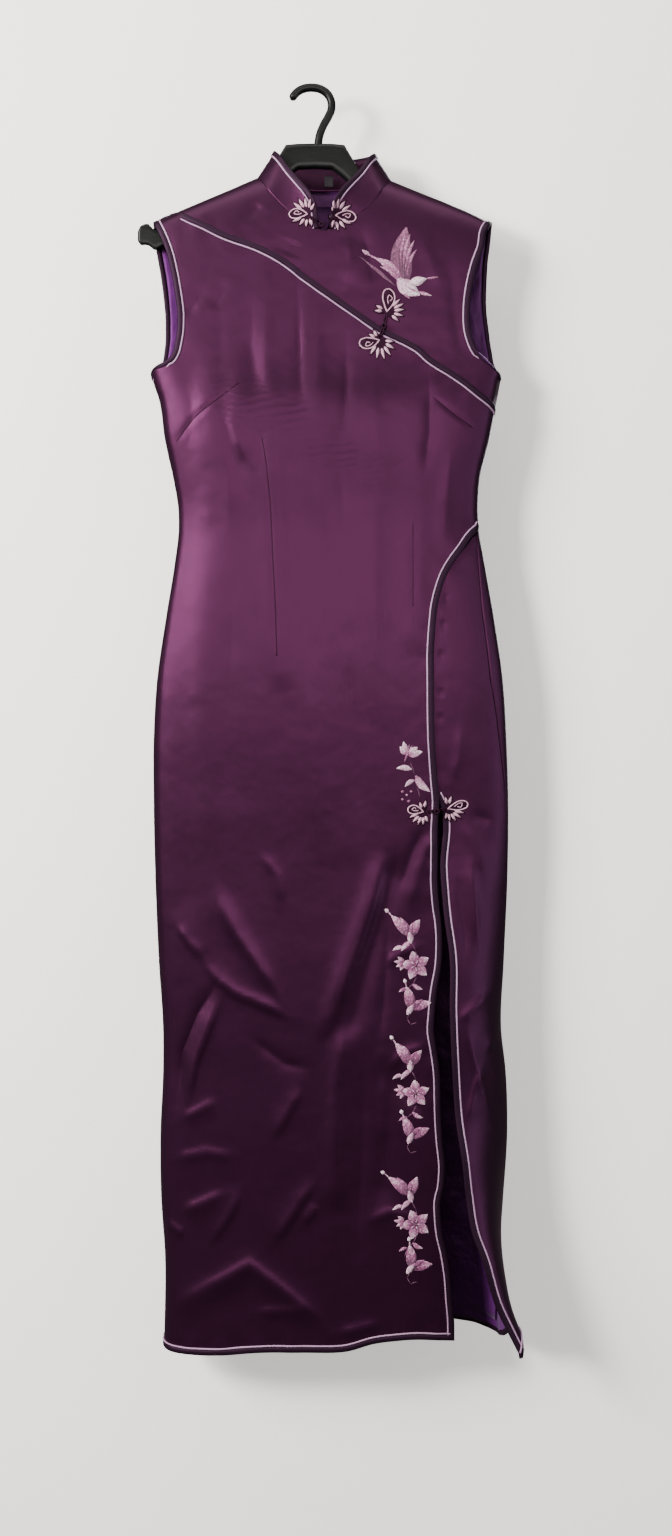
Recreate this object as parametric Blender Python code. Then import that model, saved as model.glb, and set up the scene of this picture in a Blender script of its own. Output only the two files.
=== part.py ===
"""A long sleeveless satin dress with a standing collar, on a moulded plastic hanger.

Row frame: +Z up, the front of the dress faces -Y, +X is to the viewer's right.
The origin is the inside top of the hook, where a rail or a nail would bear.
Sizes in the tables are millimetres; points become metres when a mesh is made.
"""

import math

import bpy
import numpy as np
from mathutils import Vector
from mathutils.bvhtree import BVHTree

# Driving sizes, in millimetres
WALL = 1.5            # satin with its lining sewn in
COLLAR_WALL = 2.0     # the collar is stiffened
LINING_WALL = 0.8
SEAM_GAP = 0.4        # between two pieces that are sewn together
LAP_LIFT = 2.6        # the front laps over the yoke and the side piece
UNDERLAP = 10.0       # how far those two pieces run on under the front
LAP_END_GAP = 2.5     # where the underlap has run out, the bound edges meet with this gap
LINING_DEPTH = 3.0    # lining's outer face below the shell's outer face
TRIM_BAND = 12.0      # the edge rows that carry the bindings
COLLAR_BAND = 9.0
HEM_Z = -1450.0
SECTION_POWER = 0.85  # below 1 the section is flatter in the middle than an ellipse
SHOULDER_ROUNDING = 30.0

# The body's sections: a row per level
# z, left x, right x, depth of the front, depth of the back
BODY = np.array([
    (-60, -200, 224, 34, 38),
    (-151, -200, 224, 33, 34),
    (-250, -196, 222, 31, 29),
    (-336, -185, 218, 34, 26),
    (-357, -178, 214, 37, 27),
    (-404, -171, 205, 38, 28),
    (-450, -161, 194, 35, 27),
    (-479, -156, 192, 33, 26),
    (-508, -155, 193, 32, 26),
    (-543, -159, 199, 33, 28),
    (-612, -170, 211, 36, 32),
    (-682, -180, 221, 38, 36),
    (-752, -184, 225, 38, 37),
    (-821, -184, 227, 37, 37),
    (-914, -182, 226, 36, 37),
    (-1007, -178, 222, 37, 38),
    (-1088, -173, 219, 38, 39),
    (-1134, -173, 224, 38, 40),
    (-1204, -176, 226, 39, 40),
    (-1285, -175, 221, 40, 41),
    (-1343, -171, 217, 41, 42),
    (-1462, -172, 217, 43, 43)], float)

# The shoulder line, with the peak it would have inside the neck: x, z
SHOULDER = np.array([
    (-184, -152), (-152, -138), (-122, -125.5), (-92, -113), (-64, -101), (14, -66),
    (92, -104), (122, -116), (152, -127.5), (180, -139), (208, -152.5)], float)

# Free edges and seams, all as x, z
NECK_FRONT = np.array([
    (-64, -101), (-52, -119), (-37, -137), (-23, -151), (-8, -161), (14, -170.5),
    (36, -161), (52, -151), (66, -138), (80, -121), (92, -104)], float)
NECK_BACK = np.array([
    (92, -104), (86, -105), (66, -105.5), (40, -106), (14, -106), (-12, -106),
    (-38, -105), (-58, -103.5), (-64, -101)], float)
ARM_LEFT_FRONT = np.array([
    (-184, -152), (-175, -170), (-167, -190), (-161, -214), (-156, -243), (-153.5, -267),
    (-155, -290), (-162, -312), (-185, -336)], float)
ARM_LEFT_BACK = np.array([
    (-184, -152), (-183.5, -170), (-180, -190), (-176, -214), (-172.5, -243), (-171, -270),
    (-172, -296), (-176, -316), (-185, -336)], float)
ARM_RIGHT_FRONT = np.array([
    (208, -152.5), (200, -166), (197, -184), (190, -204), (184, -228), (180.5, -256),
    (182, -284), (192, -308), (218, -336)], float)
ARM_RIGHT_BACK = np.array([
    (208, -152.5), (206.5, -172), (204, -192), (202.5, -218), (202, -246), (204.5, -272),
    (208, -298), (212, -318), (218, -336)], float)
WRAP_EDGE = np.array([
    (-163, -142.6), (-131, -156), (-98, -173), (-59, -188), (-35, -201), (-6, -223),
    (22, -243), (51, -263), (79, -282), (121, -303), (136, -316), (165, -334),
    (193, -354), (210, -373)], float)
FRONT_SIDE_EDGE = np.array([
    (190.5, -508), (184, -516), (171, -535), (161, -549), (153, -563), (147, -580),
    (142, -600), (140, -618), (138, -646), (138, -696), (139, -755), (142, -799),
    (144, -827), (143, -841), (142, -863), (142, -889), (142, -915), (144, -941),
    (147, -962), (148, -981), (147, -1009), (142, -1037), (139, -1066), (138, -1084),
    (141, -1103), (145, -1132), (146, -1169), (148, -1207), (151, -1244), (149, -1264),
    (146, -1276), (146, -1295), (148, -1315), (153, -1337), (157, -1364), (159, -1391),
    (161, -1419), (161, -1436)], float)
FRONT_HEM = np.array([
    (-172, -1450), (-149, -1454), (-102, -1452), (-57, -1447), (-10, -1446), (36, -1445),
    (72, -1436), (106, -1433), (161, -1436)], float)
BACK_HEM = np.array([
    (-172, -1448), (-120, -1440), (-40, -1434), (60, -1432), (150, -1431), (190, -1434),
    (217, -1441)], float)

# Where the right side seam runs, in degrees round from the middle of the front: z, angle
RIGHT_SEAM = np.array([
    (0, 90), (-485, 90), (-508, 84), (-514, 80), (-522, 76), (-560, 71), (-604, 68), (-681, 67),
    (-706, 69), (-780, 75), (-860, 84), (-950, 90), (-1500, 90)], float)

# The flap beside the slit: z, free edge x, free edge y, bend x, bend y
FLAP = np.array([
    (-800, 132, -30, 186, -26),
    (-826, 146, -29, 187, -25),
    (-900, 147, -31, 188, -26),
    (-953, 151, -35, 190, -27),
    (-999, 157, -40, 192, -29),
    (-1062, 157, -46, 191, -34),
    (-1135, 160, -50, 192, -37),
    (-1181, 163, -52, 193, -38),
    (-1228, 171, -56, 192, -40),
    (-1266, 175, -60, 190, -40),
    (-1304, 181, -66, 188, -41),
    (-1334, 192, -70, 186, -41),
    (-1390, 209, -74, 185, -42),
    (-1418, 224, -76, 187, -42),
    (-1437, 232, -77, 190, -42)], float)

# The largest folds: x and z of both ends, reach to a side, height (below 0 is a valley)
FOLDS = np.array([
    (-139, -343, -142, -539, 13, -4),
    (-142, -539, -152, -640, 13, -5),
    (-152, -640, -142, -934, 13, -4),
    (70, -900, 40, -1000, 12, 7),
    (40, -1000, 10, -1082, 12, 6),
    (92, -905, 66, -1000, 11, -6),
    (66, -1000, 46, -1082, 11, -6),
    (34, -1082, 26, -1262, 14, 5),
    (84, -1120, 80, -1262, 14, -4),
    (-104, -934, -52, -1036, 12, 4),
    (-150, -1400, -70, -1350, 14, 5),
    (-70, -1350, 8, -1406, 14, 5),
    (-62, -365, -46, -519, 12, 3),
    (-46, -519, -33, -684, 12, 3),
    (121, -430, 115, -640, 12, 3)], float)

# How the collar leans from the neck seam, left half from the front: base x, then dx, dy, dz
COLLAR_FRONT = np.array([
    (8, -4, -8, 26),
    (-1, 0, -7, 32),
    (-10, 4, -5, 36),
    (-23, 9, -2, 38),
    (-37, 11, 3, 40),
    (-52, 15, 6, 39)], float)
COLLAR_BACK = np.array([
    (-64, 20, 3, 33),
    (-58, 18, 5, 36),
    (-38, 12, 7, 37),
    (-12, 5, 8, 38),
    (14, 0, 8, 38)], float)
CENTRE_X = 14.0

# The hanger: distance from its middle, top z, bottom z, half thickness
HANGER = np.array([
    (0, -60.5, -89, 5.5),
    (20, -60.8, -90, 5.5),
    (34, -62, -101, 5.5),
    (44, -79, -111, 5.5),
    (55, -98.5, -122, 5.5),
    (68, -108.5, -132, 5.5),
    (100, -122, -147, 5.2),
    (140, -139, -164, 4.8),
    (168, -154, -176, 3.8),
    (186, -161, -184, 3.4),
    (193, -160, -185, 3.3),
    (202, -163, -186, 3.0),
    (205.5, -170, -181, 2.4)], float)
HANGER_MID = 3.0
HANGER_TIP_RISE = 8.0   # the free left tip turns up beyond the cloth
HOOK_ROD = 4.8
HOOK = np.array([
    (-23.2, -9.5), (-22, -5.5), (-18.6, -1.2), (-11, 3.4), (0, 4.8), (10.5, 2.6), (18, -3.2),
    (21.8, -11), (22, -20), (18.2, -29.5), (12.8, -39), (8.5, -50), (6, -68)], float)

# Knotted fasteners: name, centre x, centre z, half width, half height, petals
MEDALLIONS = [
    ("frog_neck_left", -13, -148, 15, 15, 6),
    ("frog_neck_right", 35, -154, 14, 14, 6),
    ("frog_chest_upper", 89, -256, 12, 16, 5),
    ("frog_chest_lower", 71, -303, 15, 12, 6),
    ("frog_slit_left", 119, -832, 13, 12, 6),
    ("frog_slit_right", 166, -826, 13, 13, 6)]
# Loop and knot between the two halves: name, start x, z, knot x, z, end x, z
CORDS = [
    ("knot_neck", 3.5, -160, 11.5, -167, 20, -163),
    ("knot_chest", 85, -274, 80.5, -284, 76, -290.5),
    ("knot_slit", 133.5, -832.5, 143, -833.5, 151.5, -830)]


def smooth_table(table, value):
    """Read every column of a table at the given first-column values, with smooth joins."""
    order = np.argsort(table[:, 0])
    rows = table[order]
    at = np.clip(np.asarray(value, float), rows[0, 0], rows[-1, 0])
    k = np.clip(np.searchsorted(rows[:, 0], at) - 1, 0, len(rows) - 2)
    x0 = rows[k, 0]
    step = rows[k + 1, 0] - x0
    t = ((at - x0) / step)[..., None]
    slopes = np.gradient(rows[:, 1:], rows[:, 0], axis=0)
    p0 = rows[k, 1:]
    p1 = rows[k + 1, 1:]
    m0 = slopes[k] * step[..., None]
    m1 = slopes[k + 1] * step[..., None]
    return ((2 * t**3 - 3 * t**2 + 1) * p0 + (t**3 - 2 * t**2 + t) * m0
            + (3 * t**2 - 2 * t**3) * p1 + (t**3 - t**2) * m1)


def along(points, fractions):
    """Points at fractions of the length of a polyline."""
    steps = np.linalg.norm(np.diff(points, axis=0), axis=1)
    length = np.concatenate([[0], np.cumsum(steps)]) / steps.sum()
    return np.stack([np.interp(fractions, length, points[:, c])
                     for c in range(points.shape[1])], axis=-1)


def ease(value, low, high):
    t = np.clip((value - low) / (high - low), 0, 1)
    return t * t * (3 - 2 * t)


def drop_below_shoulder(x, z):
    return np.maximum(np.interp(x, SHOULDER[:, 0], SHOULDER[:, 1]) - z, 0)


def fold_height(x, z):
    height = np.zeros_like(x)
    for x0, z0, x1, z1, reach, size in FOLDS:
        run = np.array([x1 - x0, z1 - z0])
        t = np.clip(((x - x0) * run[0] + (z - z0) * run[1]) / (run @ run), 0, 1)
        away = np.hypot(x - x0 - t * run[0], z - z0 - t * run[1])
        height = height + size * np.exp(-(away / reach) ** 2)
    return height


def cloth(angle, z, lift=0.0):
    """The body surface, angle in degrees: 0 front middle, 90 right, 180 back, 270 left."""
    angle, z = np.broadcast_arrays(np.asarray(angle, float), np.asarray(z, float))
    rows = smooth_table(BODY, z)
    mid = (rows[..., 0] + rows[..., 1]) / 2
    half = (rows[..., 1] - rows[..., 0]) / 2
    turn = np.radians(angle)
    x = mid + half * np.sin(turn)
    front = np.cos(turn) > 0
    fall = drop_below_shoulder(x, z)
    rise = np.sqrt(fall / (fall + SHOULDER_ROUNDING))
    depth = np.where(front, rows[..., 2], rows[..., 3]) * rise
    bow = np.abs(np.cos(turn)) ** SECTION_POWER
    side = np.where(front, -1.0, 1.0)
    away = depth * bow + np.where(front, fold_height(x, z) * np.minimum(1, 2 * bow), 0)
    away = away + SEAM_GAP / 2 * np.exp(-fall / 8) + lift
    return np.stack([x, side * away, z], axis=-1)


def cloth_normal(angle, z):
    """Outward normals; on the shoulder seam they keep to the plane of the seam."""
    turn = cloth(angle + 0.4, z) - cloth(angle - 0.4, z)
    down = cloth(angle, z - 0.5) - cloth(angle, z + 0.5)
    normal = np.cross(down, turn)
    normal /= np.linalg.norm(normal, axis=-1, keepdims=True)
    place = cloth(angle, z)
    seam = drop_below_shoulder(place[..., 0], z) < 0.8
    seam &= place[..., 1] ** 2 < 9
    normal[..., 1] = np.where(seam, 0, normal[..., 1])
    normal[..., 2] = np.where(seam, np.abs(normal[..., 2]) + 0.3, normal[..., 2])
    return normal / np.linalg.norm(normal, axis=-1, keepdims=True)


def angle_of(x, z, back=False):
    """The angle whose surface point has this x at this level."""
    rows = smooth_table(BODY, z)
    mid = (rows[..., 0] + rows[..., 1]) / 2
    half = (rows[..., 1] - rows[..., 0]) / 2
    turn = np.degrees(np.arcsin(np.clip((x - mid) / half, -1, 1)))
    return 180 - turn if back else turn


def seam_angle(z, side):
    """The right seam, moved by half the seam gap to side -1 (front) or +1 (back)."""
    middle = np.interp(z, RIGHT_SEAM[::-1, 0], RIGHT_SEAM[::-1, 1])
    low = np.zeros_like(middle)
    high = np.full_like(middle, 3.0)
    for _ in range(24):
        half = (low + high) / 2
        gap = np.linalg.norm(cloth(middle + side * half, z) - cloth(middle, z), axis=-1)
        high = np.where(gap > SEAM_GAP / 2, half, high)
        low = np.where(gap > SEAM_GAP / 2, low, half)
    return middle + side * high


def left_seam_angle(z, side):
    return np.full_like(np.asarray(z, float), -90 + 0.12 * side)


class Grid:
    """A panel: its outer points and normals, in rows from the top and columns across."""

    def __init__(self, points, normals):
        self.points = points
        self.normals = normals

    def moved(self, out, rows=slice(None), columns=slice(None)):
        points = self.points + self.normals * out
        return Grid(points[rows, columns], self.normals[rows, columns])


def panel_params(left, right, top, bottom, fade_rows):
    """Angles and levels over a four-sided panel, from its four edges."""
    count = len(left)
    share = np.linspace(0, 1, len(top))[None, :, None]
    params = left[:, None, :] * (1 - share) + right[:, None, :] * share
    row = np.arange(count)[:, None, None]
    top_fix = top[None] - params[:1]
    low_fix = bottom[None] - params[-1:]
    fade = np.clip(1 - row / fade_rows, 0, 1) ** 1.5
    low_fade = np.clip(1 - (count - 1 - row) / 6, 0, 1) ** 1.5
    return params + top_fix * fade + low_fix * low_fade


def insert_band(params, axis, at_start, width, place):
    """Add one row or column at the given distance inside an edge."""
    turned = params if axis == 0 else params.transpose(1, 0, 2)
    edge, inner = (turned[0], turned[1]) if at_start else (turned[-1], turned[-2])
    reach = np.linalg.norm(place(inner) - place(edge), axis=-1)
    share = np.clip(width / reach, 0, 0.8)[:, None]
    band = edge + (inner - edge) * share
    where = 1 if at_start else len(turned) - 1
    turned = np.insert(turned, where, band, axis=0)
    return turned if axis == 0 else turned.transpose(1, 0, 2)


def lap_place(params):
    """Where a point of the front panel lies: lifted over what it laps, but not at seams."""
    angle, z = params[..., 0], params[..., 1]
    x = cloth(angle, z)[..., 0]
    lift = np.clip((88 - np.abs(angle)) / 16, 0, 1) * ease(drop_below_shoulder(x, z), 1, 9)
    return cloth(angle, z) + cloth_normal(angle, z) * (LAP_LIFT * lift)[..., None]


def base_place(params):
    return cloth(params[..., 0], params[..., 1])


def grid_from(params, place):
    return Grid(place(params), cloth_normal(params[..., 0], params[..., 1]))


# Levels shared by both side seams, from the underarm to the hem
LEVELS = np.array([-336, -354, -373, -400, -430, -460, -485, -508, -514, -522, -540, -575,
                   -615, -660, -705, -755, -805, -828, -862, -905, -953, -1000, -1050, -1100,
                   -1150, -1200, -1250, -1304, -1345, -1395], float)
ARM_SHARES = np.array([0, 0.05, 0.14, 0.28, 0.42, 0.56, 0.7, 0.82, 0.9, 0.96])


def arm_points(table):
    return along(table, ARM_SHARES)


def as_params(points, back=False):
    return np.stack([angle_of(points[:, 0], points[:, 1], back), points[:, 1]], axis=-1)


def left_side_params(side):
    """The left seam's levels; side +1 is the front piece's edge."""
    angle = left_seam_angle(LEVELS, side)
    return np.stack([angle, LEVELS], axis=-1)


def front_params():
    left = np.vstack([as_params(arm_points(ARM_LEFT_FRONT)), left_side_params(1),
                      [(-89.88, FRONT_HEM[0, 1])]])
    first_free = 6
    seam_z = LEVELS[2:2 + first_free]
    right = [(a, z) for a, z in zip(seam_angle(seam_z, -1), seam_z)]
    count = len(left)
    for row in range(first_free, count):
        share = (row - first_free + 1) / (count - first_free)
        z = LEVELS[7] + (FRONT_SIDE_EDGE[-1, 1] - LEVELS[7]) * share ** 1.3
        x = np.interp(z, FRONT_SIDE_EDGE[::-1, 1], FRONT_SIDE_EDGE[::-1, 0])
        right.append((float(angle_of(np.array(x), np.array(z))), z))
    right = np.array(right)
    columns = 20
    shares = np.linspace(0, 1, columns - 1)
    top = along(WRAP_EDGE, shares)
    top[-1] = (0, -373)
    top = as_params(np.vstack([ARM_LEFT_FRONT[:1], top]))
    top[-1] = right[0]
    bottom_x = cloth(np.linspace(left[-1, 0], right[-1, 0], columns), HEM_Z)[:, 0]
    bottom_z = np.interp(bottom_x, FRONT_HEM[:, 0], FRONT_HEM[:, 1])
    bottom = as_params(np.stack([bottom_x, bottom_z], axis=-1))
    bottom[0], bottom[-1] = left[-1], right[-1]
    params = panel_params(left, right, top, bottom, 16)
    params = insert_band(params, 0, True, TRIM_BAND, lap_place)
    params = insert_band(params, 0, False, TRIM_BAND, lap_place)
    params = insert_band(params, 1, True, TRIM_BAND, lap_place)
    return insert_band(params, 1, False, TRIM_BAND, lap_place)


def yoke_params():
    top_x = [-158, -140, -122, -92, -64, -52, -37, -23, -8, 14, 36, 52, 66, 80, 92, 107,
             122, 152, 180, 208]
    top = []
    for x in top_x:
        in_neck = -64 <= x <= 92
        table = NECK_FRONT if in_neck else SHOULDER
        top.append((x, np.interp(x, table[:, 0], table[:, 1])))
    top = np.array(top)
    low_x = -158 + (210 + 158) * (top[:, 0] + 158) / (208 + 158)
    low_z = np.interp(low_x, WRAP_EDGE[:, 0], WRAP_EDGE[:, 1])
    under = np.minimum(np.clip((low_x + 142) / 25, 0, 1), np.clip((190 - low_x) / 20, 0, 1))
    low_z = low_z - UNDERLAP * under + LAP_END_GAP * (1 - under)
    low = np.stack([low_x, low_z], axis=-1)
    low_p = as_params(low)
    right_z = LEVELS[:3]
    right = np.vstack([as_params(arm_points(ARM_RIGHT_FRONT)),
                       np.stack([seam_angle(right_z, -1), right_z], axis=-1)])
    right[-1, 1] += LAP_END_GAP
    low_p[-1] = right[-1]
    top_p = as_params(top)
    rows = len(right)
    share = np.linspace(0, 1, rows)[:, None, None]
    params = top_p[None] * (1 - share) + low_p[None] * share
    fix = right[:, None, :] - params[:, -1:, :]
    fade = np.clip((np.arange(len(top)) - 13) / (len(top) - 14), 0, 1)[None, :, None]
    params = params + fix * fade
    return insert_band(params, 1, False, TRIM_BAND, base_place)


def side_rows():
    return np.concatenate([LEVELS[8:], [BACK_HEM[-1, 1]]])


def side_grid():
    """The side piece: its top is a narrow point, its lower part the flap by the slit."""
    z = side_rows()
    front_x = np.interp(z, FRONT_SIDE_EDGE[::-1, 1], FRONT_SIDE_EDGE[::-1, 0])
    under = np.clip((-530 - z) / 30, 0, 1)
    under = UNDERLAP * under - LAP_END_GAP * (1 - under)
    flap = smooth_table(FLAP, z)
    free_x = np.where(z > -812, front_x - under, flap[:, 0])
    start = angle_of(free_x, z)
    end = seam_angle(z, -1)
    columns = 7
    share = np.linspace(0, 1, columns)
    angle = start[:, None] + (end - start)[:, None] * share[None]
    level = np.repeat(z[:, None], columns, axis=1)
    place = cloth(angle, level)
    turned = np.zeros_like(place)
    free = np.stack([flap[:, 0], flap[:, 1], z], axis=-1)
    bend = np.stack([flap[:, 2], flap[:, 3], z], axis=-1)
    seam = place[:, -1]
    for k, t in enumerate(share):
        weights = ((t - 0.42) * (t - 1) / 0.42, t * (1 - t) / (0.42 * 0.58), t * (t - 0.42) / 0.58)
        turned[:, k] = weights[0] * free + weights[1] * bend + weights[2] * seam
    mix = ease(-z, 812, 930)[:, None, None]
    points = place * (1 - mix) + turned * mix
    points = widen_band(points)
    normals = grid_normals(points)
    seam_z = points[:, -1, 2]
    normals[:, -1] = cloth_normal(seam_angle(seam_z, -1), seam_z)
    return Grid(points, normals)


def widen_band(points):
    """Put a column and a row at the trim band's distance from the free edge and the hem."""
    edge, inner = points[:, 0], points[:, 1]
    reach = np.linalg.norm(inner - edge, axis=-1)
    share = np.clip(TRIM_BAND / reach, 0, 0.8)[:, None]
    points = np.insert(points, 1, edge + (inner - edge) * share, axis=1)
    edge, inner = points[-1], points[-2]
    share = (TRIM_BAND / np.linalg.norm(inner - edge, axis=-1))[:, None]
    return np.insert(points, len(points) - 1, edge + (inner - edge) * share, axis=0)


def grid_normals(points):
    across = np.gradient(points, axis=1)
    down = np.gradient(points, axis=0)
    normal = np.cross(down, across)
    return normal / np.maximum(np.linalg.norm(normal, axis=-1, keepdims=True), 1e-9)


def back_params():
    right = np.vstack([as_params(arm_points(ARM_RIGHT_BACK), True),
                       np.stack([seam_angle(LEVELS, 1), LEVELS], axis=-1),
                       [(90.12, BACK_HEM[-1, 1])]])
    left = np.vstack([as_params(arm_points(ARM_LEFT_BACK), True),
                      np.stack([left_seam_angle(LEVELS, -1) + 360, LEVELS], axis=-1),
                      [(269.88, BACK_HEM[0, 1])]])
    top_x = [208, 180, 152, 122, 92, 66, 40, 14, -12, -38, -64, -92, -122, -152, -184]
    top = []
    for x in top_x:
        in_neck = -64 <= x <= 92
        table = NECK_BACK[::-1] if in_neck else SHOULDER
        top.append((x, np.interp(x, table[:, 0], table[:, 1])))
    top = as_params(np.array(top), True)
    spread = np.linspace(right[-1, 0], left[-1, 0], len(top))
    low_x = cloth(spread, np.full(len(top), HEM_Z))[:, 0]
    low = np.stack([spread, np.interp(low_x, BACK_HEM[:, 0], BACK_HEM[:, 1])], axis=-1)
    low[0], low[-1] = right[-1], left[-1]
    params = panel_params(right, left, top, low, 12)
    params = insert_band(params, 0, False, TRIM_BAND, base_place)
    params = insert_band(params, 1, True, TRIM_BAND, base_place)
    return insert_band(params, 1, False, TRIM_BAND, base_place)


def collar_grid():
    """The standing band, from its right front edge round the back to the left one."""
    half = np.vstack([COLLAR_FRONT, COLLAR_BACK])
    is_back = np.arange(len(half)) >= len(COLLAR_FRONT)
    mirrored = half[-2::-1] * np.array([-1, -1, 1, 1]) + np.array([2 * CENTRE_X, 0, 0, 0])
    around = np.vstack([half, mirrored])[::-1]
    is_back = np.concatenate([is_back, is_back[-2::-1]])[::-1]
    x, lean = around[:, 0], around[:, 1:]
    front_z = np.interp(x, NECK_FRONT[:, 0], NECK_FRONT[:, 1])
    back_z = np.interp(x, NECK_BACK[::-1, 0], NECK_BACK[::-1, 1])
    z = np.where(is_back, back_z, front_z)
    base = np.where(is_back[:, None], cloth(angle_of(x, z, True), z), cloth(angle_of(x, z), z))
    step = lean / np.linalg.norm(lean, axis=1, keepdims=True)
    top = base + lean
    base = base + step * 1.1
    points = np.array([base + (top - base) * share for share in (1, 0.68, 0.34, 0)])
    # a band under the top edge for the binding
    edge, inner = points[0], points[1]
    reach = np.linalg.norm(inner - edge, axis=-1, keepdims=True)
    points = np.insert(points, 1, edge + (inner - edge) * np.minimum(COLLAR_BAND / reach, 0.8),
                       axis=0)
    return Grid(points, grid_normals(points))


def solid(name, vertices, faces, material, smooth=True):
    mesh = bpy.data.meshes.new(name)
    mesh.from_pydata([tuple(v) for v in np.asarray(vertices) / 1000.0], [], faces)
    mesh.materials.append(material)
    mesh.validate()
    mesh.update()
    if smooth:
        mesh.shade_smooth()
        mesh.set_sharp_from_angle(angle=math.radians(45))
    thing = bpy.data.objects.new(name, mesh)
    bpy.context.scene.collection.objects.link(thing)
    return thing


def wall(name, grid, thickness, material):
    """A closed thin wall: the outer points, the same points moved in, and the four rims."""
    rows, columns = grid.points.shape[:2]
    outer = grid.points.reshape(-1, 3)
    inner = (grid.points - grid.normals * thickness).reshape(-1, 3)
    count = rows * columns
    faces = []
    for r in range(rows - 1):
        for c in range(columns - 1):
            a = r * columns + c
            b, d, e = a + 1, a + columns, a + columns + 1
            faces.append((a, d, e, b))
            faces.append((a + count, b + count, e + count, d + count))
    top = [(c, c + 1) for c in range(columns - 1)]
    low = (rows - 1) * columns
    bottom = [(low + c + 1, low + c) for c in range(columns - 1)]
    left = [((r + 1) * columns, r * columns) for r in range(rows - 1)]
    right = [(r * columns + columns - 1, (r + 1) * columns + columns - 1)
             for r in range(rows - 1)]
    for a, b in top + bottom + left + right:
        faces.append((a, b, b + count, a + count))
    return solid(name, np.vstack([outer, inner]), faces, material)


def strip(name, edge, inner, normal, profile, material, closed=False):
    """A flat or round band on a panel's edge rows.

    edge and inner are matching points on the panel; the profile gives, for each corner of
    the band's section, its share of the way from edge to inner and its height above.
    """
    stations = len(edge)
    corners = len(profile)
    points = []
    for k in range(stations):
        for share, height in profile:
            points.append(edge[k] + (inner[k] - edge[k]) * share + normal[k] * height)
    faces = []
    spans = stations if closed else stations - 1
    for k in range(spans):
        nxt = (k + 1) % stations
        for c in range(corners):
            d = (c + 1) % corners
            faces.append((k * corners + c, nxt * corners + c, nxt * corners + d,
                          k * corners + d))
    if not closed:
        faces.append(tuple(range(corners)))
        faces.append(tuple(reversed(range((stations - 1) * corners, stations * corners))))
    thing = solid(name, points, faces, material)
    return turn_outward(thing)


def turn_outward(thing):
    """Flip a closed mesh whose faces look inward."""
    mesh = thing.data
    volume = 0.0
    mesh.calc_loop_triangles()
    for tri in mesh.loop_triangles:
        a, b, c = (mesh.vertices[i].co for i in tri.vertices)
        volume += a.dot(b.cross(c))
    if volume < 0:
        mesh.flip_normals()
    return thing


def edge_path(grid, steps):
    """Edge and inner points along sides of a grid: each step is (side, first, last)."""
    rows, columns = grid.points.shape[:2]
    edge, inner, normal = [], [], []
    for side, first, last in steps:
        span = range(first, last + 1) if last >= first else range(first, last - 1, -1)
        for k in span:
            pairs = {"left": ((k, 0), (k, 1)), "right": ((k, columns - 1), (k, columns - 2)),
                     "top": ((0, k), (1, k)), "bottom": ((rows - 1, k), (rows - 2, k)),
                     "top_left": ((0, 0), (1, 1)), "top_right": ((0, columns - 1), (1, columns - 2)),
                     "bottom_left": ((rows - 1, 0), (rows - 2, 1)),
                     "bottom_right": ((rows - 1, columns - 1), (rows - 2, columns - 2))}
            e, i = pairs[side]
            edge.append(grid.points[e])
            inner.append(grid.points[i])
            both = grid.normals[e] + grid.normals[i]
            normal.append(both / np.linalg.norm(both))
    return np.array(edge), np.array(inner), np.array(normal)


def joined(*paths):
    return tuple(np.concatenate(parts) for parts in zip(*paths))


BINDING = [(0.04, 0.6), (0.04, 1.3), (0.2, 1.9), (0.36, 1.3), (0.36, 0.6)]
PIPING = [(0.42, 0.6), (0.45, 2.0), (0.58, 2.0), (0.61, 0.6)]


def trim(name, path, binding_material, piping_material, closed=False):
    return [strip(name + "_binding", *path, BINDING, binding_material, closed),
            strip(name + "_piping", *path, PIPING, piping_material, closed)]


def surface_over(things):
    """A search tree over some solids, for laying small pieces on them."""
    points, faces = [], []
    for thing in things:
        start = len(points)
        points += [v.co.copy() for v in thing.data.vertices]
        faces += [[start + i for i in p.vertices] for p in thing.data.polygons]
    return BVHTree.FromPolygons(points, faces)


def front_y(tree, x, z):
    """The nearest cloth to the viewer at this place, in millimetres."""
    hit = tree.ray_cast(Vector((x / 1000, -0.3, z / 1000)), Vector((0, 1, 0)))
    return hit[0].y * 1000 if hit[0] else 0.0


def resting_plane(tree, x0, z0, half_wide, half_high):
    """The slope and offset of a plane that rests on the cloth over a small box."""
    spread = np.linspace(-1, 1, 9)
    x, z = np.meshgrid(x0 + half_wide * spread, z0 + half_high * spread)
    x, z = x.ravel(), z.ravel()
    y = np.array([front_y(tree, a, b) for a, b in zip(x, z)])
    sides = np.stack([x, z, np.ones_like(x)], axis=1)
    slope = np.linalg.lstsq(sides, y, rcond=None)[0]
    slope[2] += (y - sides @ slope).min()
    return slope


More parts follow.
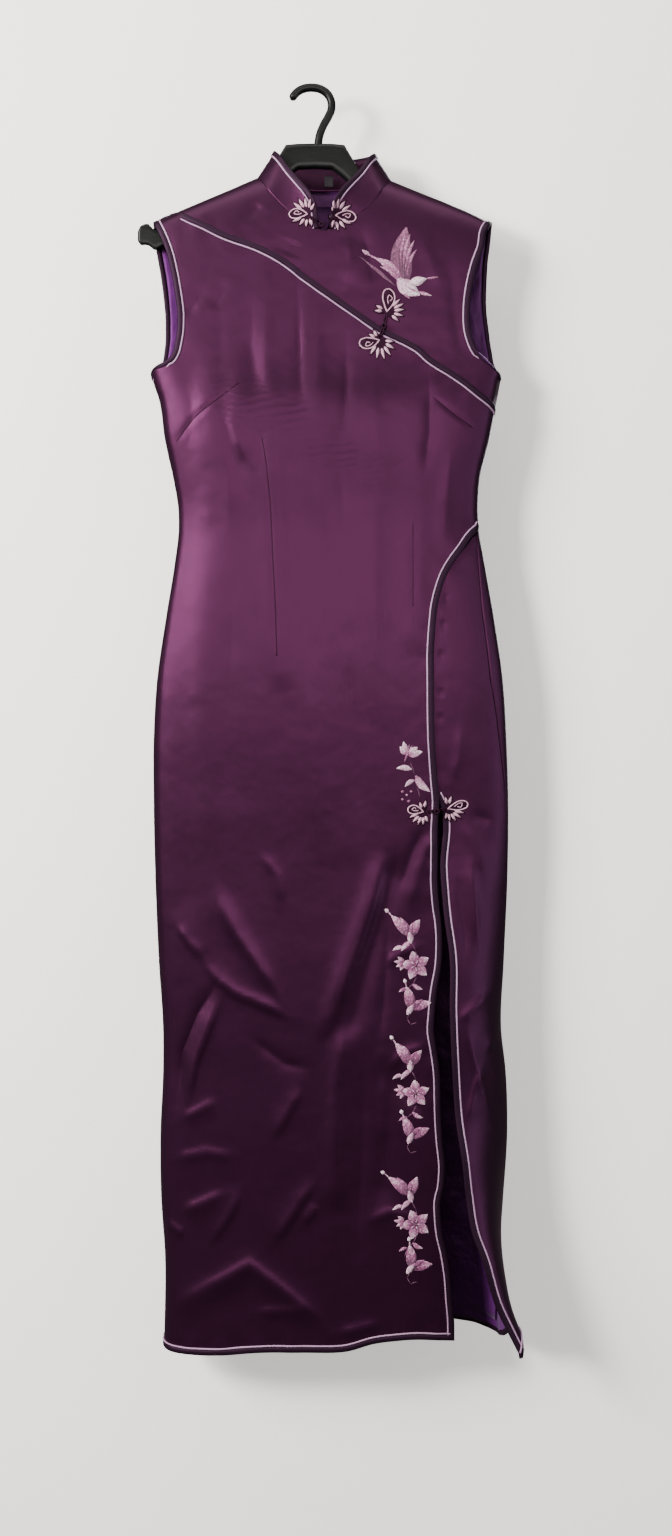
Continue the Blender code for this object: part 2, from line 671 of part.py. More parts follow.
def medallion(name, tree, x0, z0, half_wide, half_high, petals, material):
    """A lobed, domed plate: the laid cord of one half of a frog, as one solid."""
    around = petals * 4
    slope = resting_plane(tree, x0, z0, half_wide, half_high)
    rings = [(1.0, 0.5), (1.0, 1.5), (0.72, 2.8), (0.4, 2.2), (0.2, 3.0)]
    points = []
    for share, height in rings:
        for k in range(around):
            turn = 2 * math.pi * k / around
            lobe = 0.84 + 0.16 * math.cos(petals * turn)
            x = x0 + half_wide * share * lobe * math.cos(turn)
            z = z0 + half_high * share * lobe * math.sin(turn)
            points.append((x, slope @ (x, z, 1) - height, z))
    y = slope @ (x0, z0, 1)
    points.append((x0, y - 3.1, z0))
    points.append((x0, y - 0.5, z0))
    faces = []
    for r in range(len(rings) - 1):
        for k in range(around):
            n = (k + 1) % around
            faces.append((r * around + k, r * around + n, (r + 1) * around + n,
                          (r + 1) * around + k))
    crown = (len(rings) - 1) * around
    for k in range(around):
        n = (k + 1) % around
        faces.append((crown + k, crown + n, len(points) - 2))
        faces.append((n, k, len(points) - 1))
    return turn_outward(solid(name, points, faces, material))


def tube(name, path, radii, sides, material):
    """A round rod along a path in the XZ plane, with flat ends."""
    path = np.array(path, float)
    count = len(path)
    points = []
    for k in range(count):
        run = path[min(k + 1, count - 1)] - path[max(k - 1, 0)]
        run /= np.linalg.norm(run)
        side = np.cross(run, (0, 1, 0))
        side /= np.linalg.norm(side)
        other = np.cross(run, side)
        for s in range(sides):
            turn = 2 * math.pi * (s + 0.5) / sides
            points.append(path[k] + radii[k] * (side * math.cos(turn) + other * math.sin(turn)))
    faces = []
    for k in range(count - 1):
        for s in range(sides):
            n = (s + 1) % sides
            faces.append((k * sides + s, k * sides + n, (k + 1) * sides + n, (k + 1) * sides + s))
    faces.append(tuple(reversed(range(sides))))
    faces.append(tuple(range((count - 1) * sides, count * sides)))
    return turn_outward(solid(name, points, faces, material))


def knot(name, tree, x0, z0, xk, zk, x1, z1, material):
    """The loop and the ball knot that join the two halves of a frog."""
    stations = [(0, 1.3), (0.5, 1.3), (0.8, 3.2), (1.0, 4.2), (1.2, 3.2), (1.5, 1.3), (2, 1.3)]
    path, radii = [], []
    for share, radius in stations:
        if share <= 1:
            x, z = x0 + (xk - x0) * share, z0 + (zk - z0) * share
        else:
            x, z = xk + (x1 - xk) * (share - 1), zk + (z1 - zk) * (share - 1)
        near = min(front_y(tree, x + dx, z + dz) for dx in (-5, 0, 5) for dz in (-5, 0, 5))
        path.append((x, near - radius - 0.6, z))
        radii.append(radius)
    return tube(name, path, radii, 8, material)


def hanger(material):
    """Arms and plate as one section moved along the arms, and the hook's rod run into it."""
    right = HANGER.copy()
    left = HANGER[::-1].copy()
    left[:, 0] *= -1
    rise = HANGER_TIP_RISE * ease(-left[:, 0], 184, 196)
    left[:, 1] += rise
    left[:, 2] += rise
    stations = np.vstack([left[:-1], right])
    corners = [(-0.45, 0), (-1, 0.2), (-1, 0.8), (-0.45, 1), (0.45, 1), (1, 0.8), (1, 0.2),
               (0.45, 0)]
    points = []
    for x, top, bottom, half in stations:
        for side, down in corners:
            points.append((x + HANGER_MID, side * half, top + (bottom - top) * down))
    faces = []
    n = len(corners)
    for k in range(len(stations) - 1):
        for c in range(n):
            d = (c + 1) % n
            faces.append((k * n + c, (k + 1) * n + c, (k + 1) * n + d, k * n + d))
    faces.append(tuple(range(n)))
    faces.append(tuple(reversed(range((len(stations) - 1) * n, len(stations) * n))))
    body = turn_outward(solid("hanger", points, faces, material))
    path = [(x, 0, z) for x, z in HOOK]
    rod = tube("hook_rod", path, [HOOK_ROD * 0.8] + [HOOK_ROD] * (len(path) - 1), 10, material)
    join = body.modifiers.new("join", "BOOLEAN")
    join.operation = "UNION"
    join.solver = "EXACT"
    join.object = rod
    bpy.context.view_layer.update()
    ready = body.evaluated_get(bpy.context.evaluated_depsgraph_get())
    mesh = bpy.data.meshes.new_from_object(ready)
    body.modifiers.clear()
    body.data = mesh
    mesh.name = "hanger"
    bpy.data.objects.remove(rod)
    mesh.shade_smooth()
    mesh.set_sharp_from_angle(angle=math.radians(40))
    return body


def material(name, colour, roughness, metallic=0.0):
    made = bpy.data.materials.new(name)
    made.use_nodes = True
    shader = made.node_tree.nodes["Principled BSDF"]
    shader.inputs["Base Color"].default_value = (*colour, 1)
    shader.inputs["Roughness"].default_value = roughness
    shader.inputs["Metallic"].default_value = metallic
    made.diffuse_color = (*colour, 1)
    return made


def label(grid, made):
    """A small folded tape sewn inside the back of the collar."""
    x0, x1, z0, z1 = 14.0, 24.0, -92.0, -104.0
    rows, columns = grid.points.shape[:2]
    inside = (grid.points - grid.normals * COLLAR_WALL)[:, columns // 2 - 2:columns // 2 + 3]
    near = inside[..., 1].min() - 0.5
    corners = []
    for y in (near - 1.0, near):
        for x, z in ((x0, z1), (x1, z1), (x1, z0), (x0, z0)):
            corners.append((x, y, z))
    faces = [(0, 1, 2, 3), (7, 6, 5, 4), (0, 4, 5, 1), (1, 5, 6, 2), (2, 6, 7, 3), (3, 7, 4, 0)]
    return turn_outward(solid("neck_label", corners, faces, made, smooth=False))


def build():
    for thing in list(bpy.data.objects):
        bpy.data.objects.remove(thing)

    satin = (0.107, 0.025, 0.080)
    front = grid_from(front_params(), lap_place)
    yoke = grid_from(yoke_params(), base_place)
    side = side_grid()
    back = grid_from(back_params(), base_place)
    collar = collar_grid()

    panels = [
        wall("front_panel", front, WALL, material("satin front", satin, 0.36)),
        wall("front_yoke", yoke, WALL, material("satin yoke", satin, 0.36)),
        wall("side_front_panel", side, WALL, material("satin side", satin, 0.36))]
    wall("back_panel", back, WALL, material("satin back", satin, 0.36))
    collar_solid = wall("collar", collar, COLLAR_WALL, material("satin collar", satin, 0.36))

    lining = (0.15, 0.035, 0.14)
    pick = np.r_[1:len(back.points) - 1]
    across = np.r_[1:back.points.shape[1] - 1:2]
    inner = back.moved(-LINING_DEPTH)
    inner = Grid(inner.points[pick][:, across], inner.normals[pick][:, across])
    wall("back_lining", inner, LINING_WALL, material("lining back", lining, 0.5))

    bind = material("satin binding", (0.045, 0.012, 0.038), 0.4)
    pipe = material("satin piping", (0.60, 0.42, 0.52), 0.4)
    last_row = len(front.points) - 1
    last_column = front.points.shape[1] - 1
    laid = trim("wrap_edge", edge_path(front, [("top", 3, last_column - 1)]), bind, pipe)
    laid += trim("front_edge", edge_path(front, [
        ("right", 8, last_row - 2), ("bottom_right", 0, 0), ("bottom", last_column - 2, 0)]),
        bind, pipe)
    side_last = len(side.points) - 1
    side_columns = side.points.shape[1] - 1
    flap_start = 9        # the row where the side piece comes out from under the front
    back_columns = back.points.shape[1] - 1
    laid += trim("back_edge", joined(
        edge_path(side, [("left", flap_start, side_last - 2), ("bottom_left", 0, 0),
                         ("bottom", 2, side_columns)]),
        edge_path(back, [("bottom", 0, back_columns)])), bind, pipe)
    arm_rows = len(ARM_SHARES)
    # each armhole's band runs up the front, over the shoulder tip and down the back
    trim("armhole_left", joined(
        edge_path(front, [("left", arm_rows - 1, 0)]),
        edge_path(back, [("right", 0, arm_rows - 2)])), bind, pipe)
    trim("armhole_right", joined(
        edge_path(yoke, [("right", arm_rows - 2, 0)]),
        edge_path(back, [("left", 0, arm_rows - 2)])), bind, pipe)
    columns = collar.points.shape[1] - 1
    laid += trim("collar", edge_path(collar, [
        ("left", 3, 2), ("top_left", 0, 0), ("top", 2, columns - 2), ("top_right", 0, 0),
        ("right", 2, 3)]), bind, pipe)

    tree = surface_over(panels + [collar_solid] + laid)
    cord = material("satin cord", (0.055, 0.014, 0.05), 0.4)
    for name, x, z, wide, high, petals in MEDALLIONS:
        medallion(name, tree, x, z, wide, high, petals, cord)
    for name, *places in CORDS:
        knot(name, tree, *places, cord)

    label(collar, material("woven label", (0.012, 0.010, 0.014), 0.8))
    hanger(material("moulded plastic", (0.017, 0.019, 0.019), 0.35))


build()
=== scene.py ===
# %% [markdown]
# # A long satin dress on its hanger
# This lesson dresses a plain CAD model of a long sleeveless satin dress. The CAD part gives
# the size, the walls and the openings. Here each panel becomes a fine sheet with its folds,
# and the bindings, piping, knotted fasteners and embroidery are added. The imported CAD model
# comes in first as a fixed frame: nothing in it is moved, and each new piece that stands for
# a CAD node hides it.

import math

import bmesh
import bpy
import numpy as np
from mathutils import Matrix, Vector
from mathutils.bvhtree import BVHTree


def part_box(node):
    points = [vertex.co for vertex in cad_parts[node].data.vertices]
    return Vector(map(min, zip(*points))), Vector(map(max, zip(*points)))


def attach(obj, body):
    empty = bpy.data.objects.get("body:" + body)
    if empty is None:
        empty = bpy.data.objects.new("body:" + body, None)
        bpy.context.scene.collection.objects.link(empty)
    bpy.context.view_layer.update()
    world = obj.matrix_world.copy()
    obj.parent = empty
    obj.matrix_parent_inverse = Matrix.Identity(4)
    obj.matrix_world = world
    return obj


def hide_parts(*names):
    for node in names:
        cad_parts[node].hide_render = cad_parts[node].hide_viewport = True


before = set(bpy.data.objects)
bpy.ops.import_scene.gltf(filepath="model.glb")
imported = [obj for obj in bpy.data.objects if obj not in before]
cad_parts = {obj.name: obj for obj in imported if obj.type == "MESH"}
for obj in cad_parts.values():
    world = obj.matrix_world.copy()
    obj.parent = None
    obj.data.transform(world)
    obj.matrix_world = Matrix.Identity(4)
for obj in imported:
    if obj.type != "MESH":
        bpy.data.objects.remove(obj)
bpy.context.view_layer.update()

# %% [markdown]
# ## Colours and nodes
# Cloth colours are read off a swatch as sRGB hex values, while Blender's shaders work in
# linear light, so one function converts them all. A second small function adds a shader
# node, sets it and links it in one line, which keeps each material short enough to read.

# %% Colour and node helpers


def linear(code):
    """An sRGB hex colour as linear red, green, blue and alpha."""
    parts = [int(code[k:k + 2], 16) / 255 for k in (1, 3, 5)]
    return [p / 12.92 if p <= 0.04045 else ((p + 0.055) / 1.055) ** 2.4 for p in parts] + [1]


def add_node(tree, kind, settings=None, inputs=None):
    """Add one node with its settings; an input may be a value or another node's output."""
    node = tree.nodes.new(kind)
    for key, value in (settings or {}).items():
        setattr(node, key, value)
    for key, value in (inputs or {}).items():
        if isinstance(value, bpy.types.NodeSocket):
            tree.links.new(value, node.inputs[key])
        else:
            node.inputs[key].default_value = value
    return node


def bare_material(name):
    made = bpy.data.materials.new(name)
    made.use_nodes = True
    return made, made.node_tree, made.node_tree.nodes["Principled BSDF"]


print("purple of the satin, linear:", [round(c, 3) for c in linear("#63304f")])

# %% [markdown]
# ## Satin weave
# Satin is woven so that long warp threads float on top. They lie side by side like fine
# combed hair, so the cloth is smooth and shines in wide soft patches, tinted by the dye.
# The threads are about 0.1 mm apart, too fine for the picture, so the ribs are drawn 0.9 mm
# apart and very shallow. Slow noise stands for the small dents that no panel is free of.
# The ribs and slubs read the cloth's own UV map, which is laid out in metres; the slow noise
# reads the object's coordinates.

# %% Satin material


def satin_weave(name, deep, bright, roughness, gleam, dents=0.35):
    made, tree, shader = bare_material(name)
    place = add_node(tree, "ShaderNodeTexCoord")
    drift = add_node(tree, "ShaderNodeTexNoise", {}, {
        "Vector": place.outputs["Object"], "Scale": 9.0, "Detail": 3.0, "Roughness": 0.55})
    colour = add_node(tree, "ShaderNodeMix", {"data_type": "RGBA"}, {
        0: drift.outputs["Fac"], 6: linear(deep), 7: linear(bright)})
    slub_place = add_node(tree, "ShaderNodeMapping", {}, {
        "Vector": place.outputs["UV"], "Scale": (900.0, 30.0, 1.0)})
    slubs = add_node(tree, "ShaderNodeTexNoise", {}, {
        "Vector": slub_place.outputs[0], "Scale": 1.0, "Detail": 2.0})
    rough = add_node(tree, "ShaderNodeMapRange", {}, {
        "Value": slubs.outputs["Fac"], "To Min": roughness - 0.05, "To Max": roughness + 0.06})
    # ribs of the warp: a band texture repeats every 0.314 / scale metres
    ribs = add_node(tree, "ShaderNodeTexWave", {"wave_type": "BANDS", "bands_direction": "X"}, {
        "Vector": place.outputs["UV"], "Scale": 0.314 / 0.0009, "Distortion": 0.6,
        "Detail": 1.0, "Detail Scale": 0.2})
    dent = add_node(tree, "ShaderNodeTexNoise", {}, {
        "Vector": place.outputs["Object"], "Scale": 22.0, "Detail": 2.5, "Roughness": 0.5})
    fine = add_node(tree, "ShaderNodeBump", {}, {
        "Height": ribs.outputs["Fac"], "Distance": 0.00004, "Strength": 0.5})
    bump = add_node(tree, "ShaderNodeBump", {}, {
        "Height": dent.outputs["Fac"], "Distance": 0.0035, "Strength": dents,
        "Normal": fine.outputs[0]})
    tree.links.new(colour.outputs[2], shader.inputs["Base Color"])
    tree.links.new(rough.outputs[0], shader.inputs["Roughness"])
    tree.links.new(bump.outputs[0], shader.inputs["Normal"])
    # silk-like fibres: IOR of polyester 1.58, tinted reflections and a little nap
    shader.inputs["IOR"].default_value = 1.58
    shader.inputs["Specular IOR Level"].default_value = 0.55
    shader.inputs["Specular Tint"].default_value = linear(gleam)
    shader.inputs["Sheen Weight"].default_value = 0.03
    shader.inputs["Sheen Roughness"].default_value = 0.4
    shader.inputs["Sheen Tint"].default_value = linear(gleam)
    return made


dress_satin = satin_weave("satin weave", "#0f040e", "#160714", 0.40, "#d670be")
edge_satin = satin_weave("bias satin binding", "#120811", "#1c0e1b", 0.5, "#8a5f88", dents=0.1)
# the dark cord satin is also laid along the darts as painted shade
cord_and_dart_shade_satin = satin_weave("satin cord", "#10050e", "#190915", 0.5, "#8a4a78", dents=0.1)
# the piping is mauve; the frogs' cord is cut from a paler satin, so it stands out from it
piping_satin = satin_weave("mauve satin piping", "#836180", "#ae8fac", 0.45, "#e0bedb", dents=0.1)
pale_satin = satin_weave("pale satin cord", "#9c7288", "#c8a2b4", 0.45, "#e6c2d0", dents=0.1)
print("satins:", dress_satin.name, edge_satin.name, cord_and_dart_shade_satin.name, piping_satin.name,
      pale_satin.name)

# %% [markdown]
# ## Lining, label tape and moulded plastic
# The lining is a thin plain weave in a violet brighter than the satin; its colour is also raised
# to stand in for the light that reaches it through the openings, so it is partly painted light.
# The label is a woven tape, left bare. The hanger is polypropylene from a steel mould: nearly
# black, half glossy, with the fine sparkle of a lightly grained mould and paler scuffs.

# %% The other materials
lining_weave_painted_light, tree, shader = bare_material("plain weave lining")
place = add_node(tree, "ShaderNodeTexCoord")
warp = add_node(tree, "ShaderNodeTexWave", {"bands_direction": "X"}, {
    "Vector": place.outputs["UV"], "Scale": 0.314 / 0.0012, "Distortion": 0.4})
weft = add_node(tree, "ShaderNodeTexWave", {"bands_direction": "Y"}, {
    "Vector": place.outputs["UV"], "Scale": 0.314 / 0.0012, "Distortion": 0.4})
cross = add_node(tree, "ShaderNodeMath", {"operation": "MULTIPLY"}, {
    0: warp.outputs["Fac"], 1: weft.outputs["Fac"]})
rumple = add_node(tree, "ShaderNodeTexNoise", {}, {
    "Vector": place.outputs["UV"], "Scale": 40.0, "Detail": 3.0})
# the lining's own violet, set brighter as painted light for the light that reaches it inside
tone = add_node(tree, "ShaderNodeMix", {"data_type": "RGBA"}, {
    0: rumple.outputs["Fac"], 6: linear("#3a1146"), 7: linear("#531d60")})
fine = add_node(tree, "ShaderNodeBump", {}, {
    "Height": cross.outputs[0], "Distance": 0.00006, "Strength": 0.6})
bump = add_node(tree, "ShaderNodeBump", {}, {
    "Height": rumple.outputs["Fac"], "Distance": 0.004, "Strength": 0.6,
    "Normal": fine.outputs[0]})
tree.links.new(tone.outputs[2], shader.inputs["Base Color"])
tree.links.new(bump.outputs[0], shader.inputs["Normal"])
shader.inputs["Roughness"].default_value = 0.46
shader.inputs["Specular Tint"].default_value = linear("#d88fd8")
shader.inputs["Sheen Weight"].default_value = 0.1

tape_weave, tree, shader = bare_material("woven label tape")
place = add_node(tree, "ShaderNodeTexCoord")
ribs = add_node(tree, "ShaderNodeTexWave", {"bands_direction": "Z"}, {
    "Vector": place.outputs["Object"], "Scale": 0.314 / 0.0008})
tone = add_node(tree, "ShaderNodeMix", {"data_type": "RGBA"}, {
    0: ribs.outputs["Fac"], 6: linear("#17141a"), 7: linear("#2b262f")})
bump = add_node(tree, "ShaderNodeBump", {}, {
    "Height": ribs.outputs["Fac"], "Distance": 0.0002, "Strength": 0.7})
tree.links.new(tone.outputs[2], shader.inputs["Base Color"])
tree.links.new(bump.outputs[0], shader.inputs["Normal"])
shader.inputs["Roughness"].default_value = 0.75

moulded_plastic, tree, shader = bare_material("moulded polypropylene")
place = add_node(tree, "ShaderNodeTexCoord")
grain = add_node(tree, "ShaderNodeTexNoise", {}, {
    "Vector": place.outputs["Object"], "Scale": 900.0, "Detail": 2.0})
scuff_place = add_node(tree, "ShaderNodeMapping", {}, {
    "Vector": place.outputs["Object"], "Scale": (60.0, 60.0, 400.0)})
scuffs = add_node(tree, "ShaderNodeTexNoise", {}, {
    "Vector": scuff_place.outputs[0], "Scale": 1.0, "Detail": 4.0, "Roughness": 0.7})
worn = add_node(tree, "ShaderNodeMapRange", {}, {
    "Value": scuffs.outputs["Fac"], "From Min": 0.52, "From Max": 0.75,
    "To Min": 0.34, "To Max": 0.55})
tone = add_node(tree, "ShaderNodeMix", {"data_type": "RGBA"}, {
    0: scuffs.outputs["Fac"], 6: linear("#060707"), 7: linear("#0d0f0f")})
bump = add_node(tree, "ShaderNodeBump", {}, {
    "Height": grain.outputs["Fac"], "Distance": 0.0001, "Strength": 0.4})
tree.links.new(tone.outputs[2], shader.inputs["Base Color"])
tree.links.new(worn.outputs[0], shader.inputs["Roughness"])
tree.links.new(bump.outputs[0], shader.inputs["Normal"])
shader.inputs["IOR"].default_value = 1.49
shader.inputs["Specular IOR Level"].default_value = 0.22
print("materials so far:", len(bpy.data.materials))

# %% [markdown]
# ## The body's surface
# Front, yoke, side and back lie on one flattened tube, which is described by its sections:
# at each height, the two ends and the depth of the front and of the back. A point of cloth
# is then just an angle round the tube and a height, and panels that share an edge meet.
# The same numbers shape the CAD part, so every sheet lands where its CAD node is.

# %% Sections of the body, in mm
# height, left end, right end, depth of the front, depth of the back
BODY = np.array([
    (-60, -200, 224, 34, 38), (-151, -200, 224, 33, 34), (-250, -196, 222, 31, 29),
    (-336, -185, 218, 34, 26), (-357, -178, 214, 37, 27), (-404, -171, 205, 38, 28),
    (-450, -161, 194, 35, 27), (-479, -156, 192, 33, 26), (-508, -155, 193, 32, 26),
    (-543, -159, 199, 33, 28), (-612, -170, 211, 36, 32), (-682, -180, 221, 38, 36),
    (-752, -184, 225, 38, 37), (-821, -184, 227, 37, 37), (-914, -182, 226, 36, 37),
    (-1007, -178, 222, 37, 38), (-1088, -173, 219, 38, 39), (-1134, -173, 224, 38, 40),
    (-1204, -176, 226, 39, 40), (-1285, -175, 221, 40, 41), (-1343, -171, 217, 41, 42),
    (-1462, -172, 217, 43, 43)], float)
SHOULDER = np.array([
    (-184, -152), (-152, -138), (-122, -125.5), (-92, -113), (-64, -101), (14, -66),
    (92, -104), (122, -116), (152, -127.5), (180, -139), (208, -152.5)], float)
# where the right side seam runs: height, angle from the middle of the front
RIGHT_SEAM = np.array([
    (-1500, 90), (-950, 90), (-860, 84), (-780, 75), (-706, 69), (-681, 67), (-604, 68),
    (-560, 71), (-522, 76), (-514, 80), (-508, 84), (-485, 90), (0, 90)], float)
SEAM_GAP = 0.4


def smooth_table(table, value):
    """Every column of a table at the given first-column values, with smooth joins."""
    rows = table[np.argsort(table[:, 0])]
    at = np.clip(np.asarray(value, float), rows[0, 0], rows[-1, 0])
    k = np.clip(np.searchsorted(rows[:, 0], at) - 1, 0, len(rows) - 2)
    step = rows[k + 1, 0] - rows[k, 0]
    t = ((at - rows[k, 0]) / step)[..., None]
    slopes = np.gradient(rows[:, 1:], rows[:, 0], axis=0)
    p0, p1 = rows[k, 1:], rows[k + 1, 1:]
    m0, m1 = slopes[k] * step[..., None], slopes[k + 1] * step[..., None]
    return ((2 * t**3 - 3 * t**2 + 1) * p0 + (t**3 - 2 * t**2 + t) * m0
            + (3 * t**2 - 2 * t**3) * p1 + (t**3 - t**2) * m1)


def smooth_line(points, share):
    """Places at shares of the length of a smooth line through some points."""
    points = np.asarray(points, float)
    steps = np.maximum(np.linalg.norm(np.diff(points, axis=0), axis=1), 1e-6)
    length = np.concatenate([[0], np.cumsum(steps)]) / steps.sum()
    return smooth_table(np.column_stack([length, points]), share)


def ease(value, low, high):
    t = np.clip((value - low) / (high - low), 0, 1)
    return t * t * (3 - 2 * t)


def below_shoulder(x, z):
    return np.maximum(np.interp(x, SHOULDER[:, 0], SHOULDER[:, 1]) - z, 0)


print("the body is measured at", len(BODY), "heights")

# %% [markdown]
# ## Folds and creases
# Cloth simulation would drape a copy of the dress, but not this one, whose folds have to be
# where the real ones are. So each fold is a line drawn on the cloth, with a height and a
# reach to either side: a gentle reach on one side and a steep one on the other reads as a
# soft crease. Darts are narrow valleys with a puffed border. The first table holds the
# large folds, which the CAD part has too; the second holds the finer ones.

# %% Tables of folds, in mm
# height, reach, and the points of each fold's line
FOLDS = [
    (-1.3, 18, (-139, -300), (-142, -539), (-152, -640), (-146, -800), (-142, -960)),
    (2.4, 10, (78, -880), (66, -930), (40, -1000), (10, -1095)),
    (-2.6, 10, (98, -880), (84, -940), (66, -1000), (42, -1095)),
    (3.0, 14, (34, -1075), (26, -1290)), (-2.6, 14, (84, -1110), (80, -1290)),
    (1.4, 12, (-112, -920), (-48, -1046)),
    (1.6, 14, (-162, -1408), (-70, -1350), (12, -1410)),
    (1.6, 16, (-64, -350), (-46, -519), (-33, -700)), (1.4, 16, (122, -410), (115, -660))]
# height (below 0 is a valley), reach to the right and to the left of the line, its points
FRONT_CREASES = [
    (-2.0, 9, 14, (-69, -225), (-72, -300), (-62, -368), (-57, -480)),
    (1.6, 14, 9, (-50, -225), (-50, -330), (-40, -420), (-32, -540)),
    (-1.8, 12, 16, (-108, -300), (-100, -380), (-86, -440), (-70, -480)),
    (1.8, 5, 10, (-84, -330), (-92, -390), (-80, -425), (-68, -438)),
    (-1.7, 5, 6, (-16, -222), (-15, -300), (-14, -420)),
    (1.9, 14, 12, (8, -245), (8, -340), (6, -450), (10, -560)),
    (-2.6, 9, 12, (40, -275), (38, -400), (34, -520)),
    (-0.9, 6, 10, (-146, -268), (-120, -232)),
    (-0.8, 8, 10, (-114, -262), (-96, -226)),
    (-0.8, 14, 14, (-104, -250), (-106, -330)),
    (-0.5, 8, 8, (-148, -300), (-137, -364), (-141, -430)),
    (0.9, 16, 14, (-112, -290), (-104, -370), (-96, -440), (-92, -540)),
    (-2.2, 10, 8, (134, -335), (134, -400), (127, -452)),
    (1.5, 10, 10, (158, -420), (152, -480), (150, -530)),
    (1.8, 14, 16, (70, -310), (72, -430), (70, -560), (74, -700)),
    (-1.2, 20, 20, (-90, -560), (-94, -700), (-96, -860)),
    (1.4, 22, 22, (-10, -640), (0, -760), (8, -880)),
    (-1.3, 20, 20, (40, -640), (48, -760), (56, -860)),
    (3.2, 14, 5, (80, -890), (70, -935), (57, -976), (41, -1021), (29, -1057), (19, -1080)),
    (-2.6, 9, 6, (88, -940), (84, -1017), (78, -1098)),
    (2.2, 9, 4, (35, -1078), (27, -1149), (26, -1254)),
    (1.8, 10, 5, (82, -1125), (80, -1219)),
    (2.8, 5, 11, (-109, -925), (-89, -970), (-68, -999), (-46, -1032), (-32, -1052)),
    (2.6, 4, 10, (-127, -1002), (-108, -1025), (-87, -1041), (-54, -1054), (-22, -1070)),
    (-2.6, 6, 5, (-106, -1026), (-130, -1065), (-148, -1110), (-153, -1170)),
    (2.6, 7, 4, (-103, -1042), (-119, -1082), (-134, -1122), (-142, -1168)),
    (1.6, 4, 9, (-156, -962), (-140, -985), (-122, -1002)),
    (2.2, 4, 12, (-45, -1325), (-29, -1302), (-4, -1263), (6, -1254)),
    (1.6, 4, 8, (-9, -1302), (6, -1279)),
    (1.8, 12, 4, (-156, -1399), (-118, -1374), (-71, -1347), (-34, -1374), (1, -1402),
     (24, -1428)),
    (1.6, 9, 5, (-67, -1402), (-4, -1397)),
    (1.6, 9, 5, (27, -1425), (78, -1413)),
    (1.6, 7, 4, (-167, -1305), (-145, -1319)),
    (2.0, 12, 4, (-150, -1292), (-98, -1267)),
    (1.7, 10, 4, (-150, -1186), (-107, -1163)),
    (1.8, 5, 11, (-45, -1207), (-30, -1180), (-10, -1145)),
    (1.5, 9, 4, (-160, -1232), (-120, -1222), (-86, -1226)),
    (-1.6, 12, 8, (60, -1110), (58, -1200), (52, -1330)),
    (1.5, 4, 9, (-118, -1330), (-92, -1290), (-80, -1262)),
    (1.7, 8, 4, (84, -1010), (100, -994), (122, -986)),
    (1.5, 8, 4, (86, -1126), (104, -1108), (128, -1100)),
    (-1.4, 7, 5, (96, -1130), (108, -1160), (128, -1176)),
    (1.4, 8, 4, (60, -1300), (88, -1288), (120, -1296)),
    (-1.5, 9, 6, (-70, -1090), (-30, -1120), (0, -1126)),
    (1.3, 6, 6, (-60, -880), (-40, -905), (-34, -940)),
    (-1.6, 5, 9, (128, -850), (112, -884), (98, -930)),
    (1.6, 6, 10, (142, -850), (120, -900), (108, -950)),
    (1.2, 6, 9, (172, -846), (186, -872), (196, -905)),
    (-1.2, 6, 6, (182, -838), (206, -846)),
    (1.8, 8, 8, (168, -1057), (186, -1120), (207, -1194)),
    (1.5, 8, 4, (219, -1070), (212, -1092), (196, -1110)),
    (1.0, 7, 7, (160, -800), (168, -770), (170, -735)),
    (2.2, 12, 4, (164, -1072), (180, -1058), (204, -1040)),
    (-1.8, 8, 5, (164, -900), (172, -960), (176, -1010)),
    (1.8, 10, 5, (178, -880), (186, -930), (190, -990)),
    (2.0, 5, 10, (196, -1120), (184, -1150), (176, -1190)),
    (-0.9, 10, 10, (-20, -180), (-28, -200)),
    (1.2, 9, 9, (40, -175), (44, -205), (38, -232)),
    (-1.2, 8, 8, (58, -168), (66, -200), (70, -232)),
    (1.0, 10, 10, (120, -150), (130, -190), (150, -240)),
    (-1.0, 8, 8, (160, -200), (164, -260), (172, -320)),
    (-1.0, 9, 9, (-60, -135), (-78, -160))]
BACK_CREASES = [
    (-2.4, 12, 12, (-120, -230), (-124, -360), (-112, -500)),
    (2.2, 14, 12, (-70, -180), (-66, -330), (-58, -470)),
    (-1.6, 14, 14, (0, -200), (4, -330), (6, -460)),
    (2.0, 12, 14, (80, -190), (78, -330), (70, -480)),
    (-2.2, 12, 12, (140, -240), (142, -370), (130, -500)),
    (1.8, 7, 12, (-130, -600), (-90, -640), (-40, -650)),
    (1.8, 12, 7, (150, -610), (110, -650), (60, -660)),
    (2.8, 14, 6, (-60, -900), (-44, -990), (-20, -1090)),
    (-2.4, 10, 9, (-90, -920), (-76, -1020), (-60, -1110)),
    (2.4, 6, 13, (110, -930), (80, -1000), (60, -1060)),
    (2.0, 12, 5, (150, -1090), (110, -1060), (70, -1052)),
    (2.4, 9, 5, (20, -1100), (26, -1190), (24, -1280)),
    (2.2, 5, 12, (-130, -1180), (-100, -1210), (-70, -1260)),
    (2.6, 15, 5, (-140, -1380), (-80, -1340), (-20, -1350), (40, -1390)),
    (1.8, 10, 5, (80, -1330), (120, -1310), (170, -1320)),
    (-1.6, 16, 16, (60, -700), (66, -830), (60, -960)),
    (1.4, 18, 18, (-110, -700), (-116, -840), (-112, -960))]
DARTS = [
    ((-84, -345), (-110, -364), (-135, -383), (-156, -409)),
    ((138, -361), (160, -378), (184, -394)),
    ((-57, -409), (-54, -426), (-48, -480), (-45, -538), (-42, -596), (-40, -657)),
    ((115, -505), (115, -560), (115, -600))]
BACK_DARTS = [
    ((-64, -400), (-70, -480), (-66, -560), (-62, -640)),
    ((92, -400), (98, -480), (94, -560), (90, -640))]
# places of the snaps sewn under the curved edge, each of which pulls a small dent
SNAPS = [(147, -590), (144, -620), (141.5, -655), (141, -698), (140.5, -727)]


